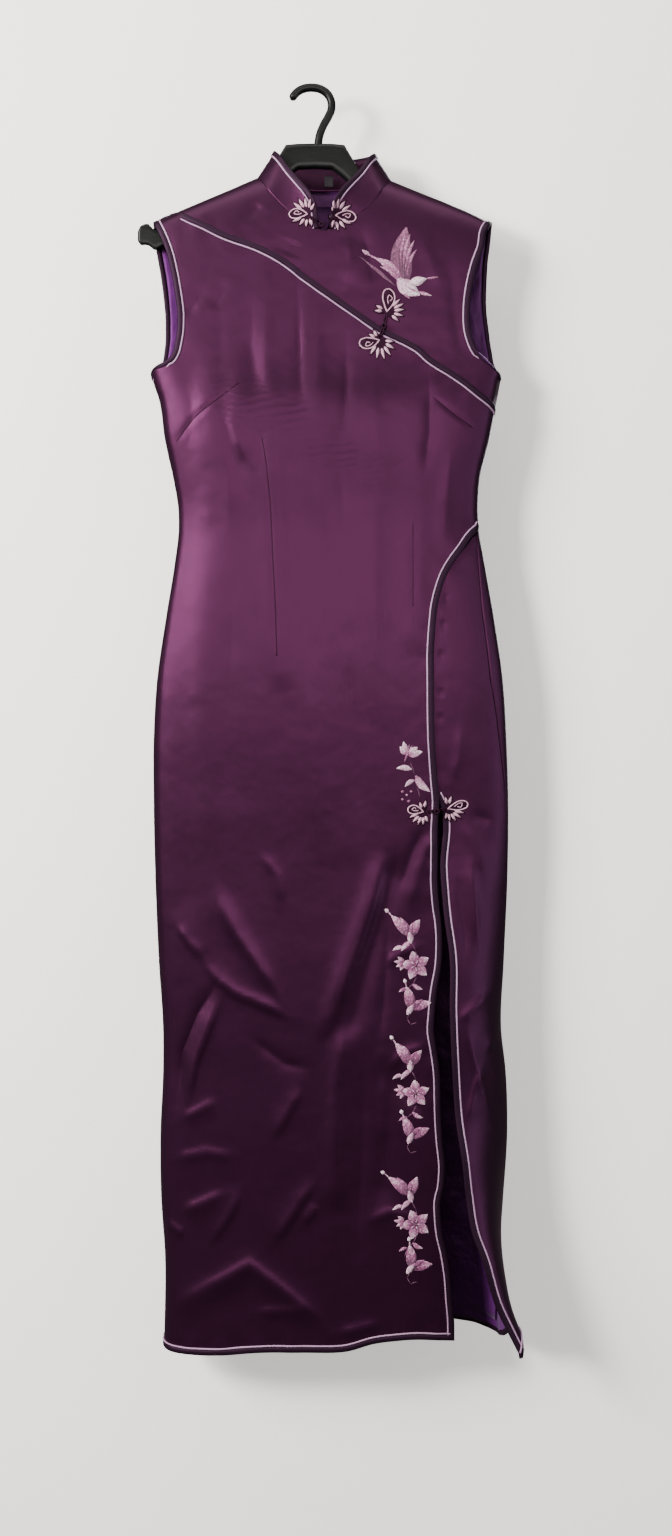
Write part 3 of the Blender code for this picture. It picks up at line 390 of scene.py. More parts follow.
def near_line(x, z, points):
    """Distance to a polyline, which side of it, and the share of the way along it."""
    best = np.full(np.shape(x), 1e9)
    side, run, done = np.ones_like(best), np.zeros_like(best), 0.0
    for (x0, z0), (x1, z1) in zip(points[:-1], points[1:]):
        dx, dz = x1 - x0, z1 - z0
        length = math.hypot(dx, dz)
        t = np.clip(((x - x0) * dx + (z - z0) * dz) / length**2, 0, 1)
        away = np.hypot(x - x0 - t * dx, z - z0 - t * dz)
        closer = away < best
        best = np.where(closer, away, best)
        side = np.where(closer, np.sign(dz * (x - x0) - dx * (z - z0)), side)
        run = np.where(closer, done + t * length, run)
        done += length
    return best, side, run, done


def large_folds(x, z):
    height = np.zeros_like(x)
    for size, reach, *points in FOLDS:
        away, side, run, length = near_line(x, z, points)
        taper = ease(run, -4, 32) * ease(length - run, -4, 32)
        height = height + size * taper * np.exp(-(away / reach) ** 2)
    return height


CREASE_HEIGHT, CREASE_REACH = 1.25, 0.8  # every crease of the tables is scaled by these
DART_PUFF, DART_NICK = 0.3, 0.9


def fine_relief(x, z, creases, darts):
    height = np.zeros_like(x)
    for size, right, left, *points in creases:
        away, side, run, length = near_line(x, z, points)
        reach = np.where(side > 0, right, left)
        taper = ease(run, 0, 0.3 * length) * ease(length - run, 0, 0.3 * length)
        height = height + CREASE_HEIGHT * size * (0.15 + 0.85 * taper) * np.exp(
            -((np.hypot(away, 1.0) - 1.0) / (CREASE_REACH * reach)) ** 1.1)
    for points in darts:
        away, side, run, length = near_line(x, z, points)
        fade = ease(run, -1, 0.2 * length) * ease(length - run, -6, 0.2 * length)
        height = height + fade * (DART_PUFF * np.exp(-(away / 14) ** 2)
                                  - DART_NICK * np.exp(-(away / 2.6) ** 2))
    return height


print(len(FOLDS), "large folds,", len(FRONT_CREASES) + len(BACK_CREASES), "creases")

# %% [markdown]
# ## From angle and height to a point
# This is the function that every sheet is laid on. Edges sewn into a seam or a binding also
# draw in a little between stitches, so a short pucker runs beside the slanted opening, the
# curved opening and the hem.

# %% The cloth function
WRAP_EDGE = np.array([
    (-163, -142.6), (-131, -156), (-98, -173), (-59, -188), (-35, -201), (-6, -223),
    (22, -243), (51, -263), (79, -282), (121, -303), (136, -316), (165, -334),
    (193, -354), (210, -373)], float)
FRONT_SIDE_EDGE = np.array([
    (190.5, -508), (184, -516), (171, -535), (161, -549), (153, -563), (147, -580),
    (142, -600), (140, -618), (138, -646), (138, -696), (139, -755), (142, -799),
    (144, -827), (143, -841), (142, -863), (142, -889), (142, -915), (144, -941),
    (147, -962), (148, -981), (147, -1009), (142, -1037), (139, -1066), (138, -1084),
    (141, -1103), (145, -1132), (146, -1169), (148, -1207), (151, -1244), (149, -1264),
    (146, -1276), (146, -1295), (148, -1315), (153, -1337), (157, -1364), (159, -1391),
    (161, -1419), (161, -1436)], float)
FRONT_HEM = np.array([
    (-172, -1450), (-149, -1454), (-102, -1452), (-57, -1447), (-10, -1446), (36, -1445),
    (72, -1436), (106, -1433), (161, -1436)], float)
BACK_HEM = np.array([
    (-172, -1448), (-120, -1440), (-40, -1434), (60, -1432), (150, -1431), (190, -1434),
    (217, -1441)], float)


def edge_pucker(x, z):
    height = np.zeros_like(x)
    for points, size in ((WRAP_EDGE, 0.28), (FRONT_SIDE_EDGE, 0.3), (FRONT_HEM, 0.5)):
        away, side, run, length = near_line(x, z, points)
        wave = np.sin(run / 5.3 + 1.7 * np.sin(run / 31)) * (0.6 + 0.4 * np.sin(run / 47))
        height = height + size * wave * np.exp(-((away - 9) / 7) ** 2)
    return height


def cloth(angle, z, lift=0.0):
    """A point of the body, in mm: angle 0 is the front middle, 90 the viewer's right."""
    angle, z = np.broadcast_arrays(np.asarray(angle, float), np.asarray(z, float))
    rows = smooth_table(BODY, z)
    turn = np.radians(angle)
    half = (rows[..., 1] - rows[..., 0]) / 2
    x = (rows[..., 0] + rows[..., 1]) / 2 + half * np.sin(turn)
    front = np.cos(turn) > 0
    fall = below_shoulder(x, z)
    rise = np.sqrt(fall / (fall + 30.0))
    depth = np.where(front, rows[..., 2], rows[..., 3]) * rise
    bow = np.abs(np.cos(turn)) ** 0.85
    calm = np.minimum(1, 2 * bow)
    relief = np.where(
        front, large_folds(x, z) + fine_relief(x, z, FRONT_CREASES, DARTS) + edge_pucker(x, z),
        fine_relief(x, z, BACK_CREASES, BACK_DARTS))
    relief = relief * calm * ease(fall, 0, 25)
    for sx, sz in SNAPS:
        relief = relief - np.where(front, 1.1 * np.exp(
            -((x - sx - 6) ** 2 + (z - sz) ** 2) / 9), 0)
    away = depth * bow + relief + SEAM_GAP / 2 * np.exp(-fall / 8) + lift
    return np.stack([x, np.where(front, -away, away), z], axis=-1)


def cloth_normal(angle, z):
    """Outward normals of the tube; on the shoulder they keep to the seam's plane."""
    turn = cloth(angle + 0.4, z) - cloth(angle - 0.4, z)
    down = cloth(angle, z - 0.5) - cloth(angle, z + 0.5)
    normal = np.cross(down, turn)
    normal /= np.linalg.norm(normal, axis=-1, keepdims=True)
    place = cloth(angle, z)
    seam = (below_shoulder(place[..., 0], z) < 0.8) & (place[..., 1] ** 2 < 9)
    normal[..., 1] = np.where(seam, 0, normal[..., 1])
    normal[..., 2] = np.where(seam, np.abs(normal[..., 2]) + 0.3, normal[..., 2])
    return normal / np.linalg.norm(normal, axis=-1, keepdims=True)


def angle_of(x, z, back=False):
    rows = smooth_table(BODY, z)
    middle, half = (rows[..., 0] + rows[..., 1]) / 2, (rows[..., 1] - rows[..., 0]) / 2
    turn = np.degrees(np.arcsin(np.clip((x - middle) / half, -1, 1)))
    return 180 - turn if back else turn


def as_params(points, back=False):
    points = np.asarray(points, float)
    return np.column_stack([angle_of(points[:, 0], points[:, 1], back), points[:, 1]])


def seam_params(z, side):
    """The right side seam, half the seam's gap to the front (-1) or to the back (+1)."""
    z = np.asarray(z, float)
    angle = np.interp(z, RIGHT_SEAM[:, 0], RIGHT_SEAM[:, 1]) + side * 0.12
    return np.column_stack([angle, z])


print("front middle at hip height:", np.round(cloth(0.0, -800.0), 1))

# %% [markdown]
# ## Sheets
# A panel is a rectangular grid whose four edges are moved to the panel's cut edges, the way
# a tailor eases flat cloth to a shape. Blender's grid operator makes the faces and their UV
# map, and one function moves all the points. Thickness comes later from a Solidify
# modifier, which gives the inside its own lining.

# %% Grid and sheet helpers


def mapped_bmesh():
    bm = bmesh.new()
    bm.loops.layers.uv.new("UVMap")
    return bm


def flat_grid(bm, columns, rows):
    """Add a grid to a bmesh; give its points, and their places across and down, 0 to 1."""
    if not bm.loops.layers.uv:
        bm.loops.layers.uv.new("UVMap")
    verts = bmesh.ops.create_grid(
        bm, x_segments=columns, y_segments=rows, size=0.5, calc_uvs=True)["verts"]
    flat = np.array([v.co[:] for v in verts])
    low, high = flat.min(axis=0), flat.max(axis=0)
    share = (flat - low)[:, :2] / (high - low)[:2]
    return verts, share[:, 0], 1 - share[:, 1]


def move_to(verts, points):
    for vert, point in zip(verts, np.asarray(points) / 1000):
        vert.co = point


def finished(bm, name, materials, nodes, uv_size=(1, 1)):
    """Turn a bmesh into a piece of the dress that rides on the body."""
    mesh = bpy.data.meshes.new(name)
    bm.to_mesh(mesh)
    bm.free()
    for made in materials:
        mesh.materials.append(made)
    mesh.shade_smooth()
    uv = np.empty(len(mesh.loops) * 2)
    mesh.uv_layers[0].uv.foreach_get("vector", uv)
    mesh.uv_layers[0].uv.foreach_set("vector", (uv.reshape(-1, 2) * uv_size).ravel())
    thing = bpy.data.objects.new(name, mesh)
    bpy.context.scene.collection.objects.link(thing)
    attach(thing, "root")
    if nodes:
        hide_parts(*nodes)
    return thing


def give_thickness(thing, thickness, rim=0):
    wall = thing.modifiers.new("cloth thickness", "SOLIDIFY")
    wall.thickness = thickness / 1000
    wall.offset = -1
    wall.material_offset = 1
    wall.material_offset_rim = rim


def area_of(thing):
    return sum(p.area for p in thing.data.polygons)


def patch(left, right, top, low, u, v, top_fade=0.5, low_fade=0.2):
    """Angles and heights over a panel, blended from its four edge lines."""
    across, down = u[:, None], v[:, None]
    a, b = smooth_line(left, v), smooth_line(right, v)
    inside = a * (1 - across) + b * across
    t, q = smooth_line(top, u), smooth_line(low, u)
    corner = lambda line: line[0] * (1 - across) + line[-1] * across
    fade = np.clip(1 - down / top_fade, 0, 1) ** 1.5
    rise = np.clip(1 - (1 - down) / low_fade, 0, 1) ** 1.5
    return inside + (t - corner(top)) * fade + (q - corner(low)) * rise


def patch_edges(left, right, top, low):
    """The four edge lines with their corners made to meet exactly."""
    left, right, top, low = (np.array(line, float) for line in (left, right, top, low))
    top[0], top[-1], low[0], low[-1] = left[0], right[0], left[-1], right[-1]
    return left, right, top, low


print("grid helpers ready")

# %% [markdown]
# ## Front panel
# The front is one piece from the slanted opening down to the hem. Its right edge follows
# the side seam, leaves it in a curve and becomes the edge of the slit. It laps over the
# yoke and the side piece, so it lies 2.6 mm above them there.

# %% Front panel
WALL = 1.3
OVERLAP = 2.6
ARM_LEFT_FRONT = [
    (-184, -152), (-175, -170), (-167, -190), (-161, -214), (-156, -243), (-153.5, -267),
    (-155, -290), (-162, -312), (-185, -336)]
SEAM_LEVELS = np.linspace(-350, -1440, 40)
FRONT_EDGES = patch_edges(
    np.vstack([as_params(ARM_LEFT_FRONT),
               np.column_stack([np.full(40, -89.88), SEAM_LEVELS]), [(-89.88, -1450)]]),
    np.vstack([seam_params([-373, -400, -440, -480, -496], -1), as_params(FRONT_SIDE_EDGE)]),
    as_params(np.vstack([ARM_LEFT_FRONT[:1], WRAP_EDGE])),
    as_params(FRONT_HEM))


def front_place(u, v):
    params = patch(*FRONT_EDGES, u, v)
    angle, z = params[:, 0], params[:, 1]
    x = cloth(angle, z)[:, 0]
    lift = np.clip((88 - np.abs(angle)) / 16, 0, 1) * ease(below_shoulder(x, z), 1, 9)
    return cloth(angle, z) + cloth_normal(angle, z) * (OVERLAP * lift)[:, None]


def cloth_sheet(name, columns, rows, place, size, wall, node, outer=dress_satin):
    """A fine sheet laid by a place function; size is its width and length in metres."""
    bm = bmesh.new()
    verts, u, v = flat_grid(bm, columns, rows)
    move_to(verts, place(u, v))
    thing = finished(bm, name, [outer, lining_weave_painted_light], [node], size)
    give_thickness(thing, wall)
    print(name, "outer area", round(area_of(thing), 3), "m2,", len(thing.data.polygons), "faces")
    return thing


front_cloth = cloth_sheet("front_cloth", 148, 320, front_place, (0.40, 1.31), WALL,
                          "front_panel")

# %% [markdown]
# ## Front yoke
# The yoke is the part of the front above the slanted opening, with the right armhole and
# most of the neck. It runs on under the front panel as an underlap. Being fused to the
# collar it stays flatter than the panel, so it needs fewer faces.

# %% Front yoke
NECK_FRONT = np.array([
    (-64, -101), (-52, -119), (-37, -137), (-23, -151), (-8, -161), (14, -170.5),
    (36, -161), (52, -151), (66, -138), (80, -121), (92, -104)], float)
ARM_RIGHT_FRONT = [
    (208, -152.5), (200, -166), (197, -184), (190, -204), (184, -228), (180.5, -256),
    (182, -284), (192, -308), (218, -336)]
yoke_x = np.concatenate([np.linspace(-158, -64, 12), np.linspace(-60, 88, 40),
                         np.linspace(92, 208, 14)])
yoke_top = np.array([(x, np.interp(x, *(NECK_FRONT if -64 <= x <= 92 else SHOULDER).T))
                     for x in yoke_x])
low_x = -158 + 368 * (yoke_x + 158) / 366
under = np.minimum(np.clip((low_x + 142) / 25, 0, 1), np.clip((190 - low_x) / 20, 0, 1))
yoke_low = np.column_stack(
    [low_x, np.interp(low_x, *WRAP_EDGE.T) - 10 * under + 1.0 * (1 - under)])


def yoke_place(u, v):
    """Rows run from the shoulder and neck down to the underlap, columns across."""
    share = np.linspace(0, 1, len(yoke_x))
    top, low = (np.column_stack([np.interp(u, share, line[:, k]) for k in (0, 1)])
                for line in (yoke_top, yoke_low))
    seam = [(cloth(89.88, z)[0], z) for z in (-354.0, -372.0)]
    edge = smooth_line(np.vstack([ARM_RIGHT_FRONT, seam]), v)
    down = v[:, None]
    ends = yoke_top[-1:] * (1 - down) + yoke_low[-1:] * down
    # the armhole pulls the rows over, more the nearer they are to it
    pull = np.clip((u - 0.6) / 0.4, 0, 1)[:, None] ** 1.2
    params = as_params(top * (1 - down) + low * down + (edge - ends) * pull)
    return cloth(np.minimum(params[:, 0], 89.88), params[:, 1])


yoke_cloth = cloth_sheet("yoke_cloth", 110, 70, yoke_place, (0.37, 0.24), WALL, "front_yoke")

# %% [markdown]
# ## Side piece and the flap beside the slit
# Under the curved opening a narrow side piece starts as a point at the waist and widens
# down to the hem. Below the lowest fastener it is free, and its corner swings out to the
# right, with the satin still turned to the viewer. Its rows are a curve through three
# places: the free edge, the bend and the seam.

# %% Side piece
BEND_AT = 0.42  # where the bend lies, as a share of the way from the free edge to the seam
# height, then x and y of the free edge, then x and y of the bend
FLAP = np.array([
    (-800, 132, -30, 186, -26), (-826, 146, -29, 187, -25), (-900, 147, -31, 188, -26),
    (-953, 151, -35, 190, -27), (-999, 157, -40, 192, -29), (-1062, 157, -46, 191, -34),
    (-1135, 160, -50, 192, -37), (-1181, 163, -52, 193, -39), (-1228, 170, -56, 196, -42),
    (-1266, 174, -60, 199, -46), (-1304, 180, -66, 203, -51), (-1334, 191, -70, 210, -55),
    (-1390, 208, -74, 223, -60), (-1418, 222, -76, 230, -62), (-1437, 232, -77, 236, -63)],
    float)


def side_place(u, v):
    z = -514 - (1441 - 514) * v
    edge_x = np.interp(z, FRONT_SIDE_EDGE[::-1, 1], FRONT_SIDE_EDGE[::-1, 0])
    under = np.clip((-530 - z) / 30, 0, 1)
    under = 10 * under - 2.5 * (1 - under)
    flap = smooth_table(FLAP, z)
    start = angle_of(np.where(z > -812, edge_x - under, flap[:, 0]), z)
    seam_angle = seam_params(z, -1)[:, 0]
    place = cloth(start + (seam_angle - start) * u, z)
    seam = cloth(seam_angle, z)
    free = np.column_stack([flap[:, 0], flap[:, 1], z])
    bend = np.column_stack([flap[:, 2], flap[:, 3], z])
    t = u[:, None]
    rest = 1 - BEND_AT
    turned = ((t - BEND_AT) * (t - 1) / BEND_AT * free + t * (1 - t) / (BEND_AT * rest) * bend
              + t * (t - BEND_AT) / rest * seam)
    flutter = 1.6 * np.sin(z / 47 + 2 * u) * (1 - u) + 0.8 * np.sin(z / 19 - 3 * u) * (1 - u)
    turned[:, 1] += flutter * ease(-z, 1000, 1150)
    lifted = 20 * ease(u, 0.1, 0.6) * ease(1 - u, 0, 0.3) * ease(v, 0.93, 1)
    turned[:, 2] += lifted
    turned[:, 1] -= 1.2 * fine_relief(turned[:, 0], z, FRONT_CREASES, []) * np.sin(np.pi * u)
    mix = ease(-z, 812, 930)[:, None]
    return place * (1 - mix) + turned * mix


side_cloth = cloth_sheet("side_cloth", 36, 232, side_place, (0.10, 0.93), WALL,
                         "side_front_panel")

# %% [markdown]
# ## Back panel and its lining
# The back is one piece with two long darts at the waist. Behind the neck, the armholes and
# the slit its lining shows, so the lining is a sheet of its own, 3 mm inside the satin.

# %% Back panel and lining
ARM_LEFT_BACK = [
    (-184, -152), (-183.5, -170), (-180, -190), (-176, -214), (-172.5, -243), (-171, -270),
    (-172, -296), (-176, -316), (-185, -336)]
ARM_RIGHT_BACK = [
    (208, -152.5), (206.5, -172), (204, -192), (202.5, -218), (202, -246), (204.5, -272),
    (208, -298), (212, -318), (218, -336)]
NECK_BACK = np.array([
    (-64, -101), (-58, -103.5), (-38, -105), (-12, -106), (14, -106), (40, -106),
    (66, -105.5), (86, -105), (92, -104)], float)
back_x = np.concatenate([np.linspace(208, 96, 12), np.linspace(92, -64, 30),
                         np.linspace(-68, -184, 12)])
back_top = [(x, np.interp(x, *(NECK_BACK if -64 <= x <= 92 else SHOULDER).T)) for x in back_x]
spread = np.linspace(90.12, 269.88, 24)
hem_x = cloth(spread, np.full(24, -1450.0))[:, 0]
BACK_EDGES = patch_edges(
    np.vstack([as_params(ARM_RIGHT_BACK, True), seam_params(SEAM_LEVELS, 1),
               [(90.12, -1441)]]),
    np.vstack([as_params(ARM_LEFT_BACK, True),
               np.column_stack([np.full(40, 269.88), SEAM_LEVELS]), [(269.88, -1448)]]),
    as_params(back_top, True),
    np.column_stack([spread, np.interp(hem_x, *BACK_HEM.T)]))


LINING_DEPTH = 3.2


def back_place(u, v):
    params = patch(*BACK_EDGES, u, v, top_fade=0.3)
    return cloth(params[:, 0], params[:, 1])


def back_lining_place(u, v):
    params = patch(*BACK_EDGES, 0.02 + 0.96 * u, 0.012 + 0.976 * v, top_fade=0.3)
    angle, z = params[:, 0], params[:, 1]
    rumple = 0.35 * np.sin(z / 23 + angle / 9) + 0.3 * np.sin(z / 11 - angle / 6)
    return cloth(angle, z) + cloth_normal(angle, z) * (rumple - LINING_DEPTH)[:, None]


back_cloth = cloth_sheet("back_cloth", 96, 250, back_place, (0.42, 1.33), WALL, "back_panel")

bm = bmesh.new()
verts, u, v = flat_grid(bm, 70, 170)
move_to(verts, back_lining_place(u, v))
back_lining_cloth = finished(bm, "back_lining_cloth", [lining_weave_painted_light, lining_weave_painted_light],
                             ["back_lining"], (0.40, 1.30))
give_thickness(back_lining_cloth, 0.6)
print("lining area", round(area_of(back_lining_cloth), 3))

# %% [markdown]
# ## Standing collar
# The collar is a stiffened band that leans in a little from the neck seam, with rounded
# ends at the front. Its line round the neck and its lean at each place come from the CAD
# tables; both are drawn as smooth lines, so the band has no corners.

# %% Collar
CENTRE_X = 14.0
COLLAR_FRONT = [
    (8, -4, -8, 26), (-1, 0, -7, 32), (-10, 4, -5, 36), (-23, 9, -2, 38), (-37, 11, 3, 40),
    (-52, 15, 6, 39)]
COLLAR_BACK = [
    (-64, 20, 3, 33), (-58, 18, 5, 36), (-38, 12, 7, 37), (-12, 5, 8, 38), (14, 0, 8, 38)]
half = np.array(COLLAR_FRONT + COLLAR_BACK, float)
mirrored = half[-2::-1] * np.array([-1, -1, 1, 1]) + np.array([2 * CENTRE_X, 0, 0, 0])
around = np.vstack([half, mirrored])[::-1]
is_back = np.arange(len(half)) >= len(COLLAR_FRONT)
is_back = np.concatenate([is_back, is_back[-2::-1]])[::-1]
neck_x, lean = around[:, 0], around[:, 1:]
neck_z = np.where(is_back, np.interp(neck_x, *NECK_BACK.T), np.interp(neck_x, *NECK_FRONT.T))
neck_line = np.where(is_back[:, None], cloth(angle_of(neck_x, neck_z, True), neck_z),
                     cloth(angle_of(neck_x, neck_z), neck_z))
collar_top = neck_line + lean
neck_line = neck_line - lean / np.linalg.norm(lean, axis=1, keepdims=True) * 1.4


def collar_place(u, v):
    """From the right front edge round the back to the left one; v 0 is the top edge."""
    base, top = smooth_line(neck_line, u), smooth_line(collar_top, u)
    return top + (base - top) * v[:, None]


collar_cloth = cloth_sheet("collar_cloth", 150, 14, collar_place, (0.33, 0.04), 1.8, "collar")
# the collar is faced inside with the same satin, not with lining
collar_cloth.data.materials[1] = dress_satin

# %% [markdown]
# ## Sweeping a section along an edge
# Bindings, piping, cords and the hanger are all one idea: a small closed outline carried
# along a line. The helper makes a grid, wraps it round the outline, merges the edge where
# it closes and fills the two ends. At a sharp corner of the dress the outline is turned by
# half the corner, a mitre, as a sewn corner is.

# %% Sweep helpers


def unit(vectors):
    return vectors / np.maximum(np.linalg.norm(vectors, axis=-1, keepdims=True), 1e-9)


def sweep(bm, points, side, up, outline, closed=False, scale=None):
    """Carry an outline of (side, up) offsets in mm along points; give the new vertices."""
    corners, stations = len(outline), len(points)
    rows = stations if closed else stations - 1
    verts, u, v = flat_grid(bm, corners, rows)
    corner = np.rint(u * corners).astype(int) % corners
    station = np.rint(v * rows).astype(int) % stations
    size = np.ones(stations) if scale is None else np.asarray(scale, float)
    shape = np.asarray(outline, float)[corner] * size[station][:, None]
    move_to(verts, points[station] + side[station] * shape[:, :1] + up[station] * shape[:, 1:])
    steps = np.linalg.norm(np.diff(points, axis=0), axis=1).sum() / 1000
    girth = np.linalg.norm(np.diff(np.asarray(outline), axis=0), axis=1).sum() / 1000
    layer = bm.loops.layers.uv.active
    for face in {f for vert in verts for f in vert.link_faces}:
        for loop in face.loops:
            loop[layer].uv *= Vector((girth, steps))
    bmesh.ops.remove_doubles(bm, verts=verts, dist=1e-6)
    alive = [vert for vert in verts if vert.is_valid]
    if not closed:
        rims = [e for e in {e for vert in alive for e in vert.link_edges} if e.is_boundary]
        bmesh.ops.holes_fill(bm, edges=rims, sides=0)
    faces = list({f for vert in alive for f in vert.link_faces})
    bmesh.ops.recalc_face_normals(bm, faces=faces)
    return alive


def edge_frames(place, start, end, count, into, sign):
    """Along one side of a sheet: its points, the way into the cloth, and the way out of it."""
    share = np.linspace(0, 1, count)
    u = start[0] + (end[0] - start[0]) * share
    v = start[1] + (end[1] - start[1]) * share
    points = place(u, v)
    forward = unit(np.gradient(points, axis=0))
    step = np.ones(count)
    for _ in range(3):
        # find the step that leads 7 mm into the cloth, square to the edge
        inner = place(np.clip(u + into[0] * step, 0, 1), np.clip(v + into[1] * step, 0, 1))
        inward = inner - points
        inward = inward - forward * (inward * forward).sum(axis=1, keepdims=True)
        step = step * np.clip(7.0 / np.linalg.norm(inward, axis=1), 0.3, 3)
    return points, inward / 7.0, unit(np.cross(forward, inward)) * sign


def joined(*parts):
    """Sides end to end, with a mitred station at each corner."""
    points, inward, normal = parts[0]
    for p, i, n in parts[1:]:
        a, b = unit(inward[-1]), unit(i[0])
        turn = (a + b) / max(1 + (a * b).sum(), 0.4)
        points = np.vstack([points[:-2], (points[-1:] + p[:1]) / 2, p[2:]])
        inward = np.vstack([inward[:-2], turn[None], i[2:]])
        normal = np.vstack([normal[:-2], unit(normal[-1:] + n[:1]), n[2:]])
    return points, inward, normal


BINDING_OUTLINE = [(-0.8, -0.6), (-0.7, 0.5), (0.4, 1.15), (2.8, 1.4), (5.1, 1.15),
                   (5.8, 0.3), (5.5, -1.4), (3.0, -1.9), (0.5, -1.8)]


def ring(radius, corners):
    turn = np.linspace(0, 2 * np.pi, corners, endpoint=False)
    return np.column_stack([np.cos(turn), np.sin(turn)]) * radius


def trim(name, frames, piping_in=6.9):
    """One edge's folded binding, and the round piping along its inner side."""
    points, inward, normal = frames
    bm = bmesh.new()
    sweep(bm, points, inward, normal, BINDING_OUTLINE)
    binding = finished(bm, name + "_binding_fold", [edge_satin],
                       [name + "_binding"])
    bm = bmesh.new()
    sweep(bm, points + inward * piping_in + normal * 0.7, unit(inward), normal,
          ring(1.0, 8))
    piping = finished(bm, name + "_piping_cord", [piping_satin], [name + "_piping"])
    length = np.linalg.norm(np.diff(points, axis=0), axis=1).sum()
    print(name, "trim", round(length), "mm long")
    return binding, piping


print("binding outline has", len(BINDING_OUTLINE), "corners")

# %% [markdown]
# ## Bindings and piping
# Every free edge is bound: a bias strip of satin folded round the edge, with a pale piping
# caught in the seam beside it. Sewn bindings stand a little proud and round, so they catch
# the light as a thin bright line. Both are trim rather than sheets, so each one is a small
# outline that follows its edge.

# %% Bind every edge
laid = []
laid += trim("wrap_edge", edge_frames(front_place, (0.05, 0), (0.985, 0), 170, (0, 0.006), -1))
laid += trim("front_edge", joined(
    edge_frames(front_place, (1, 0.122), (1, 1), 330, (-0.02, 0), -1),
    edge_frames(front_place, (1, 1), (0.004, 1), 150, (0, -0.006), -1)))
laid += trim("back_edge", joined(
    edge_frames(side_place, (0, 0.325), (0, 1), 240, (0.08, 0), 1),
    edge_frames(side_place, (0, 1), (0.98, 1), 34, (0, -0.01), 1),
    edge_frames(back_place, (0.004, 1), (0.996, 1), 130, (0, -0.006), 1)))
left_arm = sum(np.linalg.norm(np.diff(ARM_LEFT_FRONT, axis=0), axis=1))
print("left armhole, front half:", round(left_arm), "mm")

# %% [markdown]
# ## Bound armholes
# The armholes run up the front, over the tip of the shoulder and down the back. The share
# of each panel's side that is armhole is found from the height where the side seam starts.

# %% Bind the armholes


def arm_share(place, across, level=-334.0):
    """How far down a panel's side the armhole ends."""
    v = np.linspace(0, 1, 2000)
    z = place(np.full_like(v, across), v)[:, 2]
    return float(v[np.argmax(z < level)])


left_front = edge_frames(front_place, (0, arm_share(front_place, 0.0)), (0, 0), 70,
                         (0.02, 0), -1)
left_back = edge_frames(back_place, (1, 0), (1, arm_share(back_place, 1.0)), 70,
                        (-0.02, 0), -1)
right_front = edge_frames(yoke_place, (1, arm_share(yoke_place, 1.0)), (1, 0), 70,
                          (-0.03, 0), 1)
right_back = edge_frames(back_place, (0, 0), (0, arm_share(back_place, 0.0)), 70,
                         (0.02, 0), 1)
laid += trim("armhole_left", joined(left_front, left_back))
laid += trim("armhole_right", joined(right_front, right_back))
laid += trim("collar", joined(
    edge_frames(collar_place, (0, 0.93), (0, 0), 20, (0.01, 0), -1),
    edge_frames(collar_place, (0, 0), (1, 0), 190, (0, 0.15), -1),
    edge_frames(collar_place, (1, 0), (1, 0.93), 20, (-0.01, 0), -1)), piping_in=6.2)

# %% [markdown]
# ## Laying small pieces on the dress
# Knotted fasteners and embroidery lie on the finished cloth, over its folds and piping. A
# search tree over the front pieces gives the nearest cloth behind any place, so each cord
# and stitch is put down where the cloth really is, not where a flat drawing would have it.

# %% Find the cloth behind a place
shown = [front_cloth, yoke_cloth, side_cloth, collar_cloth, *laid]
tree_points, tree_faces = [], []
for thing in shown:
    start = len(tree_points)
    tree_points += [vert.co.copy() for vert in thing.data.vertices]
    tree_faces += [[start + k for k in face.vertices] for face in thing.data.polygons]
front_tree = BVHTree.FromPolygons(tree_points, tree_faces)


def front_y(x, z):
    hit = front_tree.ray_cast(Vector((x / 1000, -0.3, z / 1000)), Vector((0, 1, 0)))[0]
    return hit.y * 1000 if hit else 0.0


def on_cloth(points, lift=0.0):
    """Points (x, z) put on the cloth, lift mm nearer to the viewer."""
    lifts = np.broadcast_to(lift, len(points))
    return np.array([(x, front_y(x, z) - h, z) for (x, z), h in zip(points, lifts)])


print("search tree over", len(tree_faces), "faces")

# %% [markdown]
# ## Satin stitch
# Embroidery of this kind is satin stitch: silk laid side by side across each small shape,
# so that the shape is a smooth low dome with a fine grain across it. Each shape is a small
# grid drawn out from a root to a tip. An attribute holds its tone, from white through pink
# to plum, and small knots vary it, each with a painted highlight: paler in its middle. The
# stitch lines come from the UV map. They are drawn 0.7 mm apart, coarser than real ones,
# which wouldn't show.

# %% Embroidery silk
silk, tree, shader = bare_material("satin stitch silk")
place = add_node(tree, "ShaderNodeTexCoord")
tone = add_node(tree, "ShaderNodeAttribute", {"attribute_name": "tone"})
# knots of about 2 mm vary the tone, and each is painted palest in its middle, a painted highlight
# where the silk would stand highest
knots = add_node(tree, "ShaderNodeTexVoronoi", {}, {
    "Vector": place.outputs["Object"], "Scale": 430.0})
knot_tone_and_highlight = add_node(tree, "ShaderNodeMapRange", {}, {
    "Value": knots.outputs["Distance"], "From Min": 0.0, "From Max": 0.65,
    "To Min": -0.24, "To Max": 0.24})
mixed_tone = add_node(tree, "ShaderNodeMath", {"operation": "ADD"}, {
    0: tone.outputs["Fac"], 1: knot_tone_and_highlight.outputs[0]})
ramp = add_node(tree, "ShaderNodeValToRGB", {}, {"Fac": mixed_tone.outputs[0]})
ramp.color_ramp.elements[0].color = linear("#f4e6ee")
ramp.color_ramp.elements[1].color = linear("#521d43")
for position, code in ((0.35, "#cda0b9"), (0.65, "#9a5080")):
    ramp.color_ramp.elements.new(position).color = linear(code)
stitches = add_node(tree, "ShaderNodeTexWave", {"bands_direction": "Y"}, {
    "Vector": place.outputs["UV"], "Scale": 0.314 / 0.0007, "Distortion": 1.2,
    "Detail": 2.0, "Detail Scale": 0.6})
shade = add_node(tree, "ShaderNodeMix", {"data_type": "RGBA", "blend_type": "MULTIPLY"}, {
    0: 0.35, 6: ramp.outputs["Color"], 7: stitches.outputs["Color"]})
